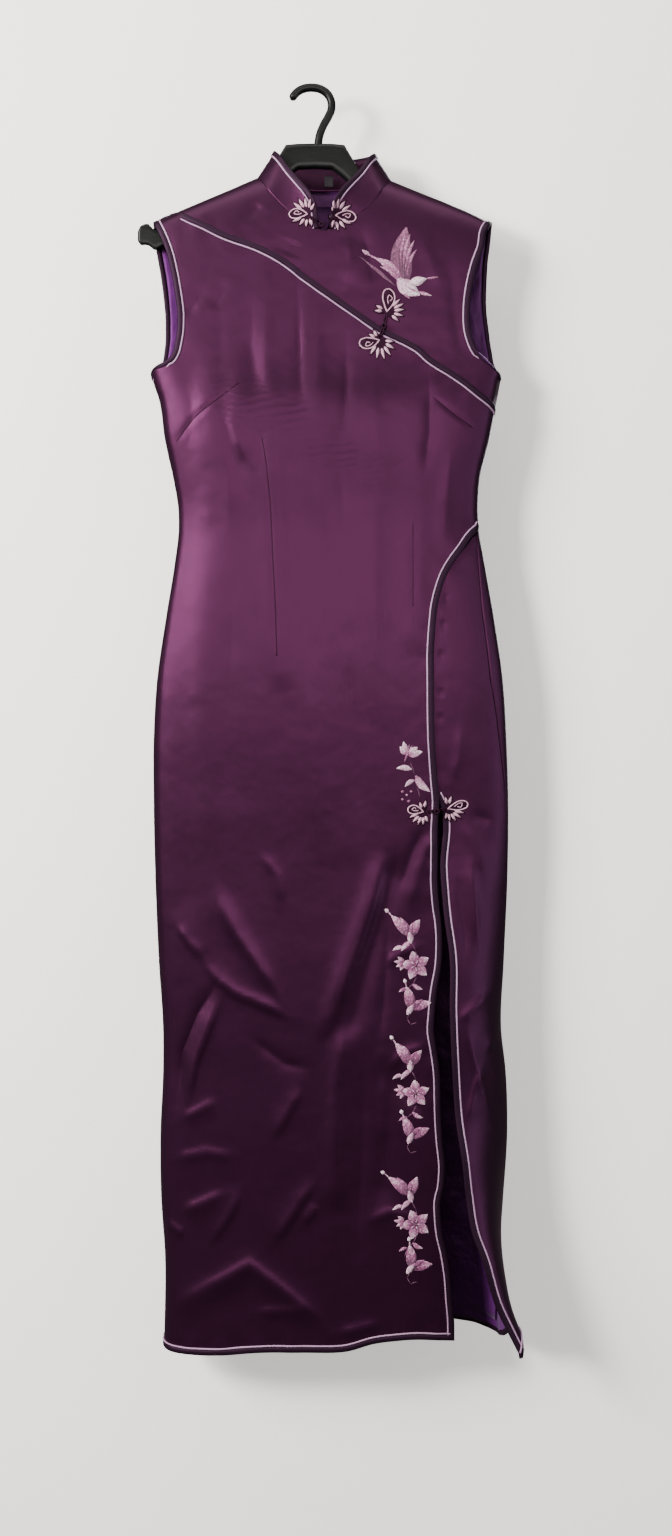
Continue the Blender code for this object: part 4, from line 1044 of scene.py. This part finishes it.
bump = add_node(tree, "ShaderNodeBump", {}, {
    "Height": stitches.outputs["Fac"], "Distance": 0.0002, "Strength": 0.7})
tree.links.new(shade.outputs[2], shader.inputs["Base Color"])
tree.links.new(bump.outputs[0], shader.inputs["Normal"])
shader.inputs["Roughness"].default_value = 0.42
shader.inputs["Sheen Weight"].default_value = 0.25


def stitch(bm, root, tip, width, tones, bend=0.0, rise=0.9, fullness=0.8):
    """One stitched shape from root to tip; tones are those of the root and the tip."""
    layer = bm.verts.layers.float.get("tone") or bm.verts.layers.float.new("tone")
    uv = bm.loops.layers.uv.active or bm.loops.layers.uv.new("UVMap")
    verts, u, v = flat_grid(bm, 6, 10)
    root, tip = np.array(root, float), np.array(tip, float)
    length = np.linalg.norm(tip - root)
    ahead = (tip - root) / length
    beside = np.array([ahead[1], -ahead[0]])
    across, along = 2 * u - 1, 1 - v
    middle = root + (tip - root) * along[:, None]
    middle = middle + beside * (bend * np.sin(np.pi * along))[:, None]
    half = width / 2 * np.sin(np.pi * np.clip(along, 0.015, 0.985) ** fullness) ** 0.75
    flat = middle + beside * (across * half)[:, None]
    dome = rise * np.sqrt(np.clip(1 - across**2, 0, 1)) * np.sin(
        np.pi * np.clip(along, 0.05, 0.95)) ** 0.35 - 0.15
    move_to(verts, on_cloth(flat, dome))
    for vert, t, a in zip(verts, along, across):
        vert[layer] = float(np.clip(tones[0] + (tones[1] - tones[0]) * t + 0.12 * a * a, 0, 1))
    for face in {f for vert in verts for f in vert.link_faces}:
        for loop in face.loops:
            loop[uv].uv *= Vector((width / 1000, length / 1000))


def embroidered(name, shapes):
    bm = mapped_bmesh()
    for shape in shapes:
        stitch(bm, *shape[:4], **(shape[4] if len(shape) > 4 else {}))
    thing = finished(bm, name, [silk], [])
    print(name, len(shapes), "stitched shapes")
    return thing


print("silk ramp has", len(ramp.color_ramp.elements), "tones")

# %% [markdown]
# ## The bird on the yoke
# A small bird flies up beside the slanted opening: a plump body, a raised wing of long
# feathers, a second wing behind it and a short tail. It is drawn here as fans of feathers
# from a few turning angles, so that it is a drawing of its own.

# %% The bird


def fan(root, angles, lengths, width, tones, bend=0.0, rise=0.9):
    """Feathers or petals side by side from one root, at angles from the viewer's right."""
    shapes = []
    for k, (angle, length) in enumerate(zip(angles, lengths)):
        turn = math.radians(angle)
        start = (root[0] + 1.5 * math.cos(turn), root[1] + 1.5 * math.sin(turn))
        tip = (root[0] + length * math.cos(turn), root[1] + length * math.sin(turn))
        shapes.append((start, tip, width, tones, {"bend": bend, "rise": rise + 0.12 * (k % 3)}))
    return shapes


bird = [((106, -231), (108, -165), 27, (0.95, 0.62), {"bend": -5.0, "rise": 0.8})]
bird += fan((107, -231), [91, 85, 79, 73], [58, 58, 52, 42], 7.6, (0.8, 0.42), -4.0, 1.2)
bird += fan((106, -231), [99, 92, 85, 78], [44, 46, 38, 28], 4.2, (1.0, 0.8), -3.0, 1.7)
bird += [((105, -228), (75, -201), 14, (0.6, 0.3), {"bend": 2.5, "rise": 0.9}),
         ((79, -205), (62, -195), 2.6, (0.45, 0.4), {"rise": 0.8}),
         ((66, -197), (57, -192), 4.8, (0.35, 0.25), {"rise": 1.3})]
bird += fan((104, -228), [134, 140, 146], [34, 39, 31], 4.2, (0.8, 0.2), 1.5, 1.4)
bird += [((98, -224), (123, -243), 19, (0.28, 0.0), {"bend": 2.0, "rise": 2.0}),
         ((112, -229), (131, -224), 11, (0.1, 0.02), {"rise": 2.3}),
         ((129, -224), (145, -221.5), 2.6, (0.6, 0.45), {"rise": 0.9}),
         ((121, -239), (137, -243), 4.2, (0.45, 0.2), {"rise": 0.9}),
         ((104, -240), (112, -247), 3.4, (0.6, 0.3), {"rise": 0.9})]
bird += [((108 + 2.5 * k, -233 - k), (114 + 2.5 * k, -238 - k), 1.4, (0.55, 0.4), {"rise": 2.5})
         for k in range(4)]
for k in range(6):
    bird.append(((96 - 3 * k, -233 + 3 * k), (76 - 4.5 * k, -219 + 4 * k), 1.3, (0.85, 0.8),
                 {"rise": 0.45}))
embroidered("bird_stitching", bird)

# %% [markdown]
# ## Sprays beside the slit
# Three sprays run down beside the slit, each a butterfly over a blossom over another
# butterfly, with a bud spray above them. Each motif is a small function, so the three
# sprays repeat with a slightly different turn and size, as hand-guided stitching does.

# %% Motifs and sprays


def polar(root, angle, reach):
    turn = math.radians(angle)
    return (root[0] + reach * math.cos(turn), root[1] + reach * math.sin(turn))


def butterfly(x, z, turn, size, tones=(0.6, 0.05)):
    wings = fan((x, z), [turn + 38, turn + 62], [size, 0.86 * size], 0.5 * size, tones)
    wings += fan((x, z), [turn + 128, turn + 152], [0.9 * size, 0.7 * size], 0.42 * size, tones)
    ahead = math.radians(turn + 95)
    body = ((x - 0.45 * size * math.cos(ahead), z - 0.45 * size * math.sin(ahead)),
            (x + 0.4 * size * math.cos(ahead), z + 0.4 * size * math.sin(ahead)))
    feelers = fan((x + 0.3 * size * math.cos(ahead), z + 0.3 * size * math.sin(ahead)),
                  [turn + 80, turn + 108], [0.45 * size, 0.45 * size], 0.9, (0.3, 0.3), 0, 0.4)
    return wings + [(*body, 0.17 * size, (0.8, 0.4), {"rise": 1.6})] + feelers


def blossom(x, z, turn, size):
    petals = fan((x, z), [turn + 72 * k for k in range(5)], [size] * 5, 0.72 * size,
                 (0.8, 0.08), rise=0.8)
    petals += fan((x, z), [turn + 36 + 72 * k for k in range(5)], [0.42 * size] * 5, 1.6,
                  (0.4, 0.2), rise=1.3)
    return petals + [((x - 1.8, z), (x + 1.8, z), 3.6, (0.9, 0.9), {"rise": 1.8})]


def leaf(x, z, turn, size, tones=(0.75, 0.3)):
    return fan((x, z), [turn], [size], 0.36 * size, tones, 0.08 * size)


def stem(points):
    return [(a, b, 1.3, (0.85, 0.85), {"rise": 0.5, "fullness": 1.0})
            for a, b in zip(points[:-1], points[1:])]


def flyer(x, z, left, right, tones=(0.85, 0.2)):
    """A butterfly from the side: one long wing with a knobbed tip, one short, a feeler."""
    tip = polar((x, z), left[0], left[1])
    wings = fan((x, z), [left[0]], [0.8 * left[1]], 13, tones, 1.2)
    wings += fan((x, z), [left[0] - 14], [0.62 * left[1]], 8, (0.9, 0.35), 1.0, 1.4)
    wings += [(polar((x, z), left[0], 0.72 * left[1]), tip, 1.6, (0.3, 0.2), {"rise": 0.7}),
              (polar(tip, left[0], -3), polar(tip, left[0] + 20, 2.5), 4.6, (0.05, 0.0),
               {"rise": 1.6})]
    wings += fan((x, z), [right[0]], [right[1]], 12, tones, -1.0)
    wings += fan((x, z), [right[0] + 20], [0.72 * right[1]], 7, (0.9, 0.4), -0.8, 1.4)
    body = polar((x, z), (left[0] + right[0]) / 2, 8)
    return wings + [(polar((x, z), (left[0] + right[0]) / 2 + 180, 7), body, 7.5, (0.1, 0.35),
                     {"rise": 1.9})]


def spray(top, turn, size):
    """A butterfly, two leaves, a blossom and a second butterfly, one under the other."""
    shapes = flyer(112, top - 39, (121 + turn, 38 * size), (52 + turn, 21 * size))
    shapes += leaf(114, top - 43, 222, 17, (0.5, 0.1)) + leaf(105, top - 49, 200, 14, (0.4, 0.05))
    shapes += stem([(113, top - 44), (118, top - 54), (120, top - 64)])
    shapes += blossom(118, top - 71, turn + 20, 15.5 * size)
    shapes += fan((106, top - 68), [140, 172, 204, 236], [11, 13, 11, 10], 5.2, (0.7, 0.15))
    shapes += stem([(119, top - 84), (115, top - 92), (109, top - 97), (105, top - 108)])
    shapes += leaf(113, top - 91, 330, 15, (0.6, 0.2)) + leaf(110, top - 97, 200, 12, (0.7, 0.3))
    shapes += flyer(112, top - 121, (110 - turn, 31 * size), (28 - turn, 23 * size))
    shapes += stem([(112, top - 124), (108, top - 131), (112, top - 138), (119, top - 136)])
    return shapes


bud_shapes = butterfly(108, -770, -24, 18, (0.45, 0.02))
bud_shapes += stem([(112, -778), (117, -792), (120, -806), (123, -818)])
bud_shapes += leaf(115, -786, 176, 19, (0.3, 0.0)) + leaf(118, -797, 215, 15, (0.3, 0.05))
bud_shapes += leaf(117, -792, -48, 26, (0.5, 0.05))
for x, z in ((103, -811), (108, -815), (103, -820), (113, -811), (110, -822)):
    bud_shapes.append(((x - 1.6, z), (x + 1.6, z), 3.2, (0.55, 0.35), {"rise": 1.4}))
embroidered("bud_stitching", bud_shapes)
embroidered("upper_spray_stitching", spray(-938, 10, 1.08))
embroidered("middle_spray_stitching", spray(-1084, 2, 1.03))
embroidered("lower_spray_stitching", spray(-1232, 18, 1.1))

# %% [markdown]
# ## Knotted fasteners
# Each half of a fastener is sewn down on a dark backing: a pale cord laid in one long eye
# with a curl in it, and small padded drops that spread from the root like petals. The cord
# is a tube swept along a smooth line; the drops are domes like a satin stitch, but higher.
# Loop and ball knot between the halves are the dark cord alone.

# %% Cord helpers


def lay_cord(bm, line, radius, closed, count=36, lift=0.0):
    """A round cord laid on the cloth along a smooth line of (x, z) points."""
    line = np.array(list(line) + ([line[0]] if closed else []), float)
    share = np.linspace(0, 1, count, endpoint=not closed)
    flat = smooth_line(line, share)
    points = on_cloth(flat, radius * 0.75 + lift)
    kernel = [0.25, 0.5, 0.25]
    y = points[:, 1]
    for _ in range(4):
        ring_y = np.concatenate([y[-1:], y, y[:1]]) if closed else np.concatenate(
            [y[:1], y, y[-1:]])
        y = np.minimum(y, np.convolve(ring_y, kernel, "valid"))
    points[:, 1] = y
    if closed:
        ahead = unit(np.roll(points, -1, axis=0) - np.roll(points, 1, axis=0))
    else:
        ahead = unit(np.gradient(points, axis=0))
    side = unit(np.cross(ahead, (0, 1, 0)))
    sweep(bm, points, side, np.cross(ahead, side), ring(radius, 6), closed)


def teardrop(root, angle, length, width, curl=0.0):
    """The outline of a petal loop that starts and ends at its root."""
    turn = math.radians(angle)
    ahead, beside = np.array([math.cos(turn), math.sin(turn)]), np.array(
        [-math.sin(turn), math.cos(turn)])
    shape = [(0, 0), (0.3, 0.32), (0.65, 0.5), (0.92, 0.32), (1, 0), (0.92, -0.32),
             (0.65, -0.5), (0.3, -0.32)]
    return [np.array(root) + ahead * a * length + beside * (b * width + curl * a * a)
            for a, b in shape]


def frog_half(name, root, eye, drops):
    """One half: a laid loop for its eye and a plump pale drop for every (angle, reach)."""
    bm = mapped_bmesh()
    angle, length, width, curl = eye
    inner = polar(root, angle, 0.34 * length)
    # the dark backing shows as a rim round everything
    for turn, reach in drops:
        stitch(bm, polar(root, turn, -1), polar(root, turn, 1.08 * reach + 2.0), 7.0, (0, 0),
               rise=1.0, fullness=0.9)
    stitch(bm, polar(root, angle, -2.5), polar(root, angle, length + 2), width + 4, (0, 0),
           rise=1.0, fullness=0.75)
    backing = set(bm.faces)
    lay_cord(bm, teardrop(root, angle, length, width, curl), 0.8, True, 44)
    lay_cord(bm, [inner, polar(inner, angle + 24, 0.2 * length),
                  polar(inner, angle + 8, 0.4 * length), polar(inner, angle - 22, 0.3 * length),
                  polar(inner, angle - 12, 0.14 * length)], 0.65, False, 20)
    for turn, reach in drops:
        stitch(bm, polar(root, turn, 0.46 * reach), polar(root, turn, 1.06 * reach), 4.3,
               (0, 0), rise=2.2, fullness=0.62)
    for face in bm.faces:
        face.material_index = 0 if face in backing else 1
    return finished(bm, name + "_cords", [cord_and_dart_shade_satin, pale_satin], [name])


FROGS = [
    # name, root, eye's angle, length, width and lean, then the drops' angles and reaches
    ("frog_neck_left", (-5, -152), (170, 21, 11, 2.5),
     [(140, 20), (120, 19), (100, 17), (78, 15), (52, 12), (204, 18), (232, 14), (262, 13),
      (292, 13)]),
    ("frog_neck_right", (27, -154), (4, 23, 12, -2.5),
     [(36, 20), (57, 19), (78, 17), (100, 15), (126, 12), (-26, 18), (-52, 16), (-80, 15),
      (-108, 13)]),
    ("frog_chest_upper", (85.5, -262.5), (78, 26, 14, 3),
     [(150, 13), (176, 13), (44, 20), (26, 20), (8, 19), (-14, 18), (-38, 16)]),
    ("frog_chest_lower", (77, -296), (200, 23, 13, -3),
     [(122, 12), (150, 13), (-6, 15), (-30, 18), (-54, 20), (-76, 21), (-98, 20),
      (-122, 18)]),
    ("frog_slit_left", (127, -834), (165, 18, 10, 1.5),
     [(78, 12), (112, 11), (202, 16), (224, 16), (246, 15), (268, 14), (292, 12)]),
    ("frog_slit_right", (155, -831), (18, 24, 10, -1.5),
     [(100, 13), (74, 14), (-14, 18), (-34, 17), (-56, 15), (-80, 13), (-104, 11)])]
for name, root, eye, drops in FROGS:
    frog_half(name, root, eye, drops)
print(len(FROGS), "halves of fasteners")

# %% [markdown]
# ## Sewn lines of the darts
# A dart is a wedge pinched together on the inside, so outside only its line is seen, a fine
# nick in the satin that lies in shade. The cloth's grid is too coarse for a line under a
# millimetre wide, so a thin dark thread is laid along each one, nearly sunk in the cloth: it
# is painted shade, standing in for the shade in the nick.

# %% Dart lines, painted shade
bm = mapped_bmesh()
for points in DARTS:
    lay_cord(bm, points, 0.5, False, 60, -0.4)
finished(bm, "dart_painted_shade_lines", [cord_and_dart_shade_satin], [])
print("dart lines:", len(DARTS))

# %% [markdown]
# ## Ball knots
# The ball knot is tied from the same cord. Three rings round one middle, each turned a
# third of the way, give the woven look of the real knot at little cost.

# %% Loops and ball knots


def ball_knot(name, start, middle, end):
    bm = mapped_bmesh()
    x, z = middle
    centre = np.array([x, min(front_y(x + dx, z) for dx in (-3, 0, 3)) - 3.6, z])
    share = np.linspace(0, 2 * np.pi, 20, endpoint=False)
    for k in range(3):
        tilt = math.radians(60 * k + 20)
        a = np.array([math.cos(tilt), 0.25, math.sin(tilt)])
        b = unit(np.cross(a, (0.3, 1, 0.1)))
        a = unit(a)
        points = centre + 2.5 * (np.cos(share)[:, None] * a + np.sin(share)[:, None] * b)
        points = points + 0.5 * np.sin(3 * share)[:, None] * np.cross(a, b)
        outward = unit(points - centre)
        ahead = unit(np.roll(points, -1, axis=0) - np.roll(points, 1, axis=0))
        sweep(bm, points, outward, np.cross(ahead, outward), ring(1.35, 6), True)
    for far, offset in ((start, 1.3), (start, -1.3), (end, 1.3), (end, -1.3)):
        run = unit(np.array([x - far[0], z - far[1]], float))
        shift = np.array([-run[1], run[0]]) * offset
        lay_cord(bm, [np.array(far) + shift * 0.6, (np.array(far) + (x, z)) / 2 + shift,
                      np.array((x, z)) + shift * 0.5], 1.05, False, 12, 0.4)
    return finished(bm, name + "_cord", [cord_and_dart_shade_satin], [name])


for name, start, middle, end in (
        ("knot_neck", (-2, -156), (11, -165), (23, -158)),
        ("knot_chest", (85, -266), (82, -280), (78, -292)),
        ("knot_slit", (131, -834), (142, -833.5), (152, -831))):
    ball_knot(name, start, middle, end)
print("three knots tied")

# %% [markdown]
# ## Label
# A folded tape is sewn inside the back of the collar. It is left bare.

# %% Label
label_low, label_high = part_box("neck_label")
middle = (label_low + label_high) / 2
bm = mapped_bmesh()
bmesh.ops.create_cube(bm, size=1.0)
bmesh.ops.scale(bm, vec=(0.0100, 0.0009, 0.0122), verts=bm.verts)
bmesh.ops.subdivide_edges(bm, edges=bm.edges, cuts=3, use_grid_fill=True)
for vert in bm.verts:
    vert.co.y -= 0.0006 * math.sin((vert.co.z / 0.0122 + 0.5) * math.pi)
bmesh.ops.bevel(bm, geom=[e for e in bm.edges if e.calc_face_angle(0) > 1], offset=0.00025,
                offset_type="OFFSET", segments=2, profile=0.5, affect="EDGES", material=-1)
bmesh.ops.translate(bm, vec=middle, verts=bm.verts)
finished(bm, "label_tape", [tape_weave], ["neck_label"])
print("label at", [round(c * 1000) for c in middle])

# %% [markdown]
# ## Hanger
# The hanger is one moulding: arms that slope like shoulders, a thicker plate in the middle
# and a round hook. The arms are one rounded outline carried along the CAD's stations, and
# the hook is a rod swept along its curve and run down into the plate.

# %% Hanger
HANGER = np.array([
    (0, -60.5, -89, 5.5), (20, -60.8, -90, 5.5), (34, -62, -101, 5.5), (44, -79, -111, 5.5),
    (55, -98.5, -122, 5.5), (68, -108.5, -132, 5.5), (100, -122, -147, 5.2),
    (140, -139, -164, 4.8), (168, -154, -176, 3.8), (186, -161, -184, 3.4),
    (193, -160, -185, 3.3), (202, -163, -186, 3.0), (205.5, -170, -181, 2.4)], float)
HOOK = np.array([
    (-23.2, -9.5), (-22, -5.5), (-18.6, -1.2), (-11, 3.4), (0, 4.8), (10.5, 2.6), (18, -3.2),
    (21.8, -11), (22, -20), (18.2, -29.5), (12.8, -39), (8.5, -50), (6, -68)], float)
reach = np.concatenate([np.linspace(0, 70, 36), np.linspace(73, 205.5, 44)])
arm = np.column_stack([reach, *[np.interp(reach, HANGER[:, 0], HANGER[:, c])
                                for c in (1, 2, 3)]])
left_arm = arm[:0:-1].copy()
rise = 8.0 * ease(left_arm[:, 0], 184, 196)
left_arm[:, 0] *= -1
left_arm[:, 1] += rise
left_arm[:, 2] += rise
# the dress hangs a little to the right, so the right tip stays just inside its shoulder
arm[36:, 0] = 70 + 0.92 * (arm[36:, 0] - 70)
stations = np.vstack([left_arm, arm])
turn = np.linspace(0, 2 * np.pi, 20, endpoint=False)
# a rounded oblong, with a shallow groove down each face as moulded arms have
oblong_y = np.sign(np.cos(turn)) * np.abs(np.cos(turn)) ** 0.45
oblong_z = np.sign(np.sin(turn)) * np.abs(np.sin(turn)) ** 0.6
oblong_y = oblong_y * (1 - 0.16 * (np.abs(oblong_z) < 0.35))
bm = mapped_bmesh()
verts, u, v = flat_grid(bm, len(turn), len(stations) - 1)
corner = np.rint(u * len(turn)).astype(int) % len(turn)
x, top, bottom, depth = stations[np.rint(v * (len(stations) - 1)).astype(int)].T
move_to(verts, np.column_stack([
    x + 3.0, depth * oblong_y[corner],
    (top + bottom) / 2 + (top - bottom) / 2 * oblong_z[corner]]))
bmesh.ops.remove_doubles(bm, verts=verts, dist=1e-6)
bmesh.ops.holes_fill(bm, edges=[e for e in bm.edges if e.is_boundary], sides=0)
hook_line = smooth_line(HOOK, np.linspace(0, 1, 80))
hook_line = np.column_stack([hook_line[:, 0], np.zeros(80), hook_line[:, 1]])
ahead = unit(np.gradient(hook_line, axis=0))
side = unit(np.cross(ahead, (0, 1, 0)))
rounding = np.sqrt(np.clip(np.linspace(0, 1, 80) / 0.02, 0.3, 1))
sweep(bm, hook_line, side, np.cross(ahead, side), ring(4.8, 18), scale=rounding)
bmesh.ops.recalc_face_normals(bm, faces=bm.faces)
hanger_moulding = finished(bm, "hanger_moulding", [moulded_plastic],
                           ["hanger"])
print("hanger faces", len(hanger_moulding.data.polygons))

# %% [markdown]
# ## Room, light and camera
# The dress hangs against a plain pale wall, lit by soft windows on the left and mirroring
# a bright room at chest height, so it is brightest there and darkens down to the hem. Weak
# lights fill it from above, from the right and from behind. The wall is only a backdrop:
# its back is see-through and it casts no shadow, so the dress can be looked at from behind
# as well. The camera stands at the photograph's height and distance.

# %% Wall and floor
wall_paint, tree, shader = bare_material("matt wall paint")
place = add_node(tree, "ShaderNodeTexCoord")
roller = add_node(tree, "ShaderNodeTexNoise", {}, {
    "Vector": place.outputs["Object"], "Scale": 300.0, "Detail": 2.0})
bump = add_node(tree, "ShaderNodeBump", {}, {
    "Height": roller.outputs["Fac"], "Distance": 0.0003, "Strength": 0.2})
tree.links.new(bump.outputs[0], shader.inputs["Normal"])
shader.inputs["Base Color"].default_value = linear("#efede9")
shader.inputs["Emission Color"].default_value = linear("#efede9")
shader.inputs["Emission Strength"].default_value = 0.75
shader.inputs["Roughness"].default_value = 0.9
shader.inputs["Specular IOR Level"].default_value = 0.1
behind = add_node(tree, "ShaderNodeNewGeometry")
clear = add_node(tree, "ShaderNodeBsdfTransparent")
either = add_node(tree, "ShaderNodeMixShader", {}, {
    0: behind.outputs["Backfacing"], 1: shader.outputs[0], 2: clear.outputs[0]})
tree.links.new(either.outputs[0], tree.nodes["Material Output"].inputs["Surface"])


def staged_plane(name, centre, wide, high, turn, made):
    bm = bmesh.new()
    bmesh.ops.create_grid(bm, x_segments=1, y_segments=1, size=0.5)
    bmesh.ops.scale(bm, vec=(wide, high, 1), verts=bm.verts)
    mesh = bpy.data.meshes.new(name)
    bm.to_mesh(mesh)
    bm.free()
    mesh.materials.append(made)
    thing = bpy.data.objects.new(name, mesh)
    bpy.context.scene.collection.objects.link(thing)
    thing.location, thing.rotation_euler = centre, turn
    return thing


WALL_BEHIND = 0.056
wall_plane = staged_plane("wall", (0.03, WALL_BEHIND, -0.35), 6.0, 2.8, (math.pi / 2, 0, 0),
                          wall_paint)
wall_plane.visible_shadow = False
wall_plane.visible_diffuse = wall_plane.visible_glossy = False
floor_paint, tree, shader = bare_material("pale floor")
shader.inputs["Base Color"].default_value = linear("#cfc9c0")
shader.inputs["Roughness"].default_value = 0.8
floor_plane = staged_plane("floor", (0.03, -0.3, -1.75), 6.0, 5.0, (0, 0, 0), floor_paint)
floor_plane.visible_diffuse = floor_plane.visible_glossy = False
print("wall stands", round(WALL_BEHIND * 1000), "mm behind the hook")

# %% Lights and camera


def soft_light(name, place, aim, wide, high, power, colour):
    data = bpy.data.lights.new(name, "AREA")
    data.shape, data.size, data.size_y = "RECTANGLE", wide, high
    data.energy = power
    data.color = linear(colour)[:3]
    lamp = bpy.data.objects.new(name, data)
    bpy.context.scene.collection.objects.link(lamp)
    lamp.location = place
    lamp.rotation_euler = (Vector(aim) - Vector(place)).to_track_quat("-Z", "Y").to_euler()
    return lamp


soft_light("window", (-2.6, -2.0, 0.6), (0.0, 0.0, -0.5), 1.2, 1.4, 190, "#fffaf4")
fill = soft_light("bright room", (0.25, -2.7, -0.05), (0.05, 0.0, -0.45), 3.0, 0.8, 60,
                  "#fffaf4")
# this one is only the bright room that the satin mirrors; it adds no light to the wall
fill.visible_diffuse = False
soft_light("ceiling bounce", (0.0, -0.9, 1.5), (0.05, 0.0, -0.4), 3.0, 0.8, 38, "#fffaf4")
soft_light("light from the right", (2.6, -1.3, -0.7), (0.15, 0.0, -0.9), 1.2, 2.0, 26,
           "#f4f2ff")
soft_light("light behind", (0.6, 2.2, 0.3), (0.0, 0.0, -0.7), 2.0, 2.0, 120, "#ffffff")
# daylight from the left throws the dress's soft shadow on the wall; the satin doesn't mirror it
daylight = soft_light("daylight", (-1.5, -1.7, -0.1), (0.1, 0.0, -0.8), 0.45, 0.45, 85, "#fffdf8")
daylight.visible_glossy = False
world = bpy.data.worlds.new("room")
bpy.context.scene.world = world
world.use_nodes = True
world.node_tree.nodes["Background"].inputs["Color"].default_value = linear("#d9d6d2")
world.node_tree.nodes["Background"].inputs["Strength"].default_value = 0.16

lens = bpy.data.cameras.new("camera")
lens.lens, lens.sensor_width = 38.39, 36.0
camera = bpy.data.objects.new("camera", lens)
bpy.context.scene.collection.objects.link(camera)
camera.location = (0.0273, -1.9, -0.7842)
camera.rotation_euler = (math.pi / 2, 0, 0)
bpy.context.scene.camera = camera
print("camera", [round(c, 3) for c in camera.location])
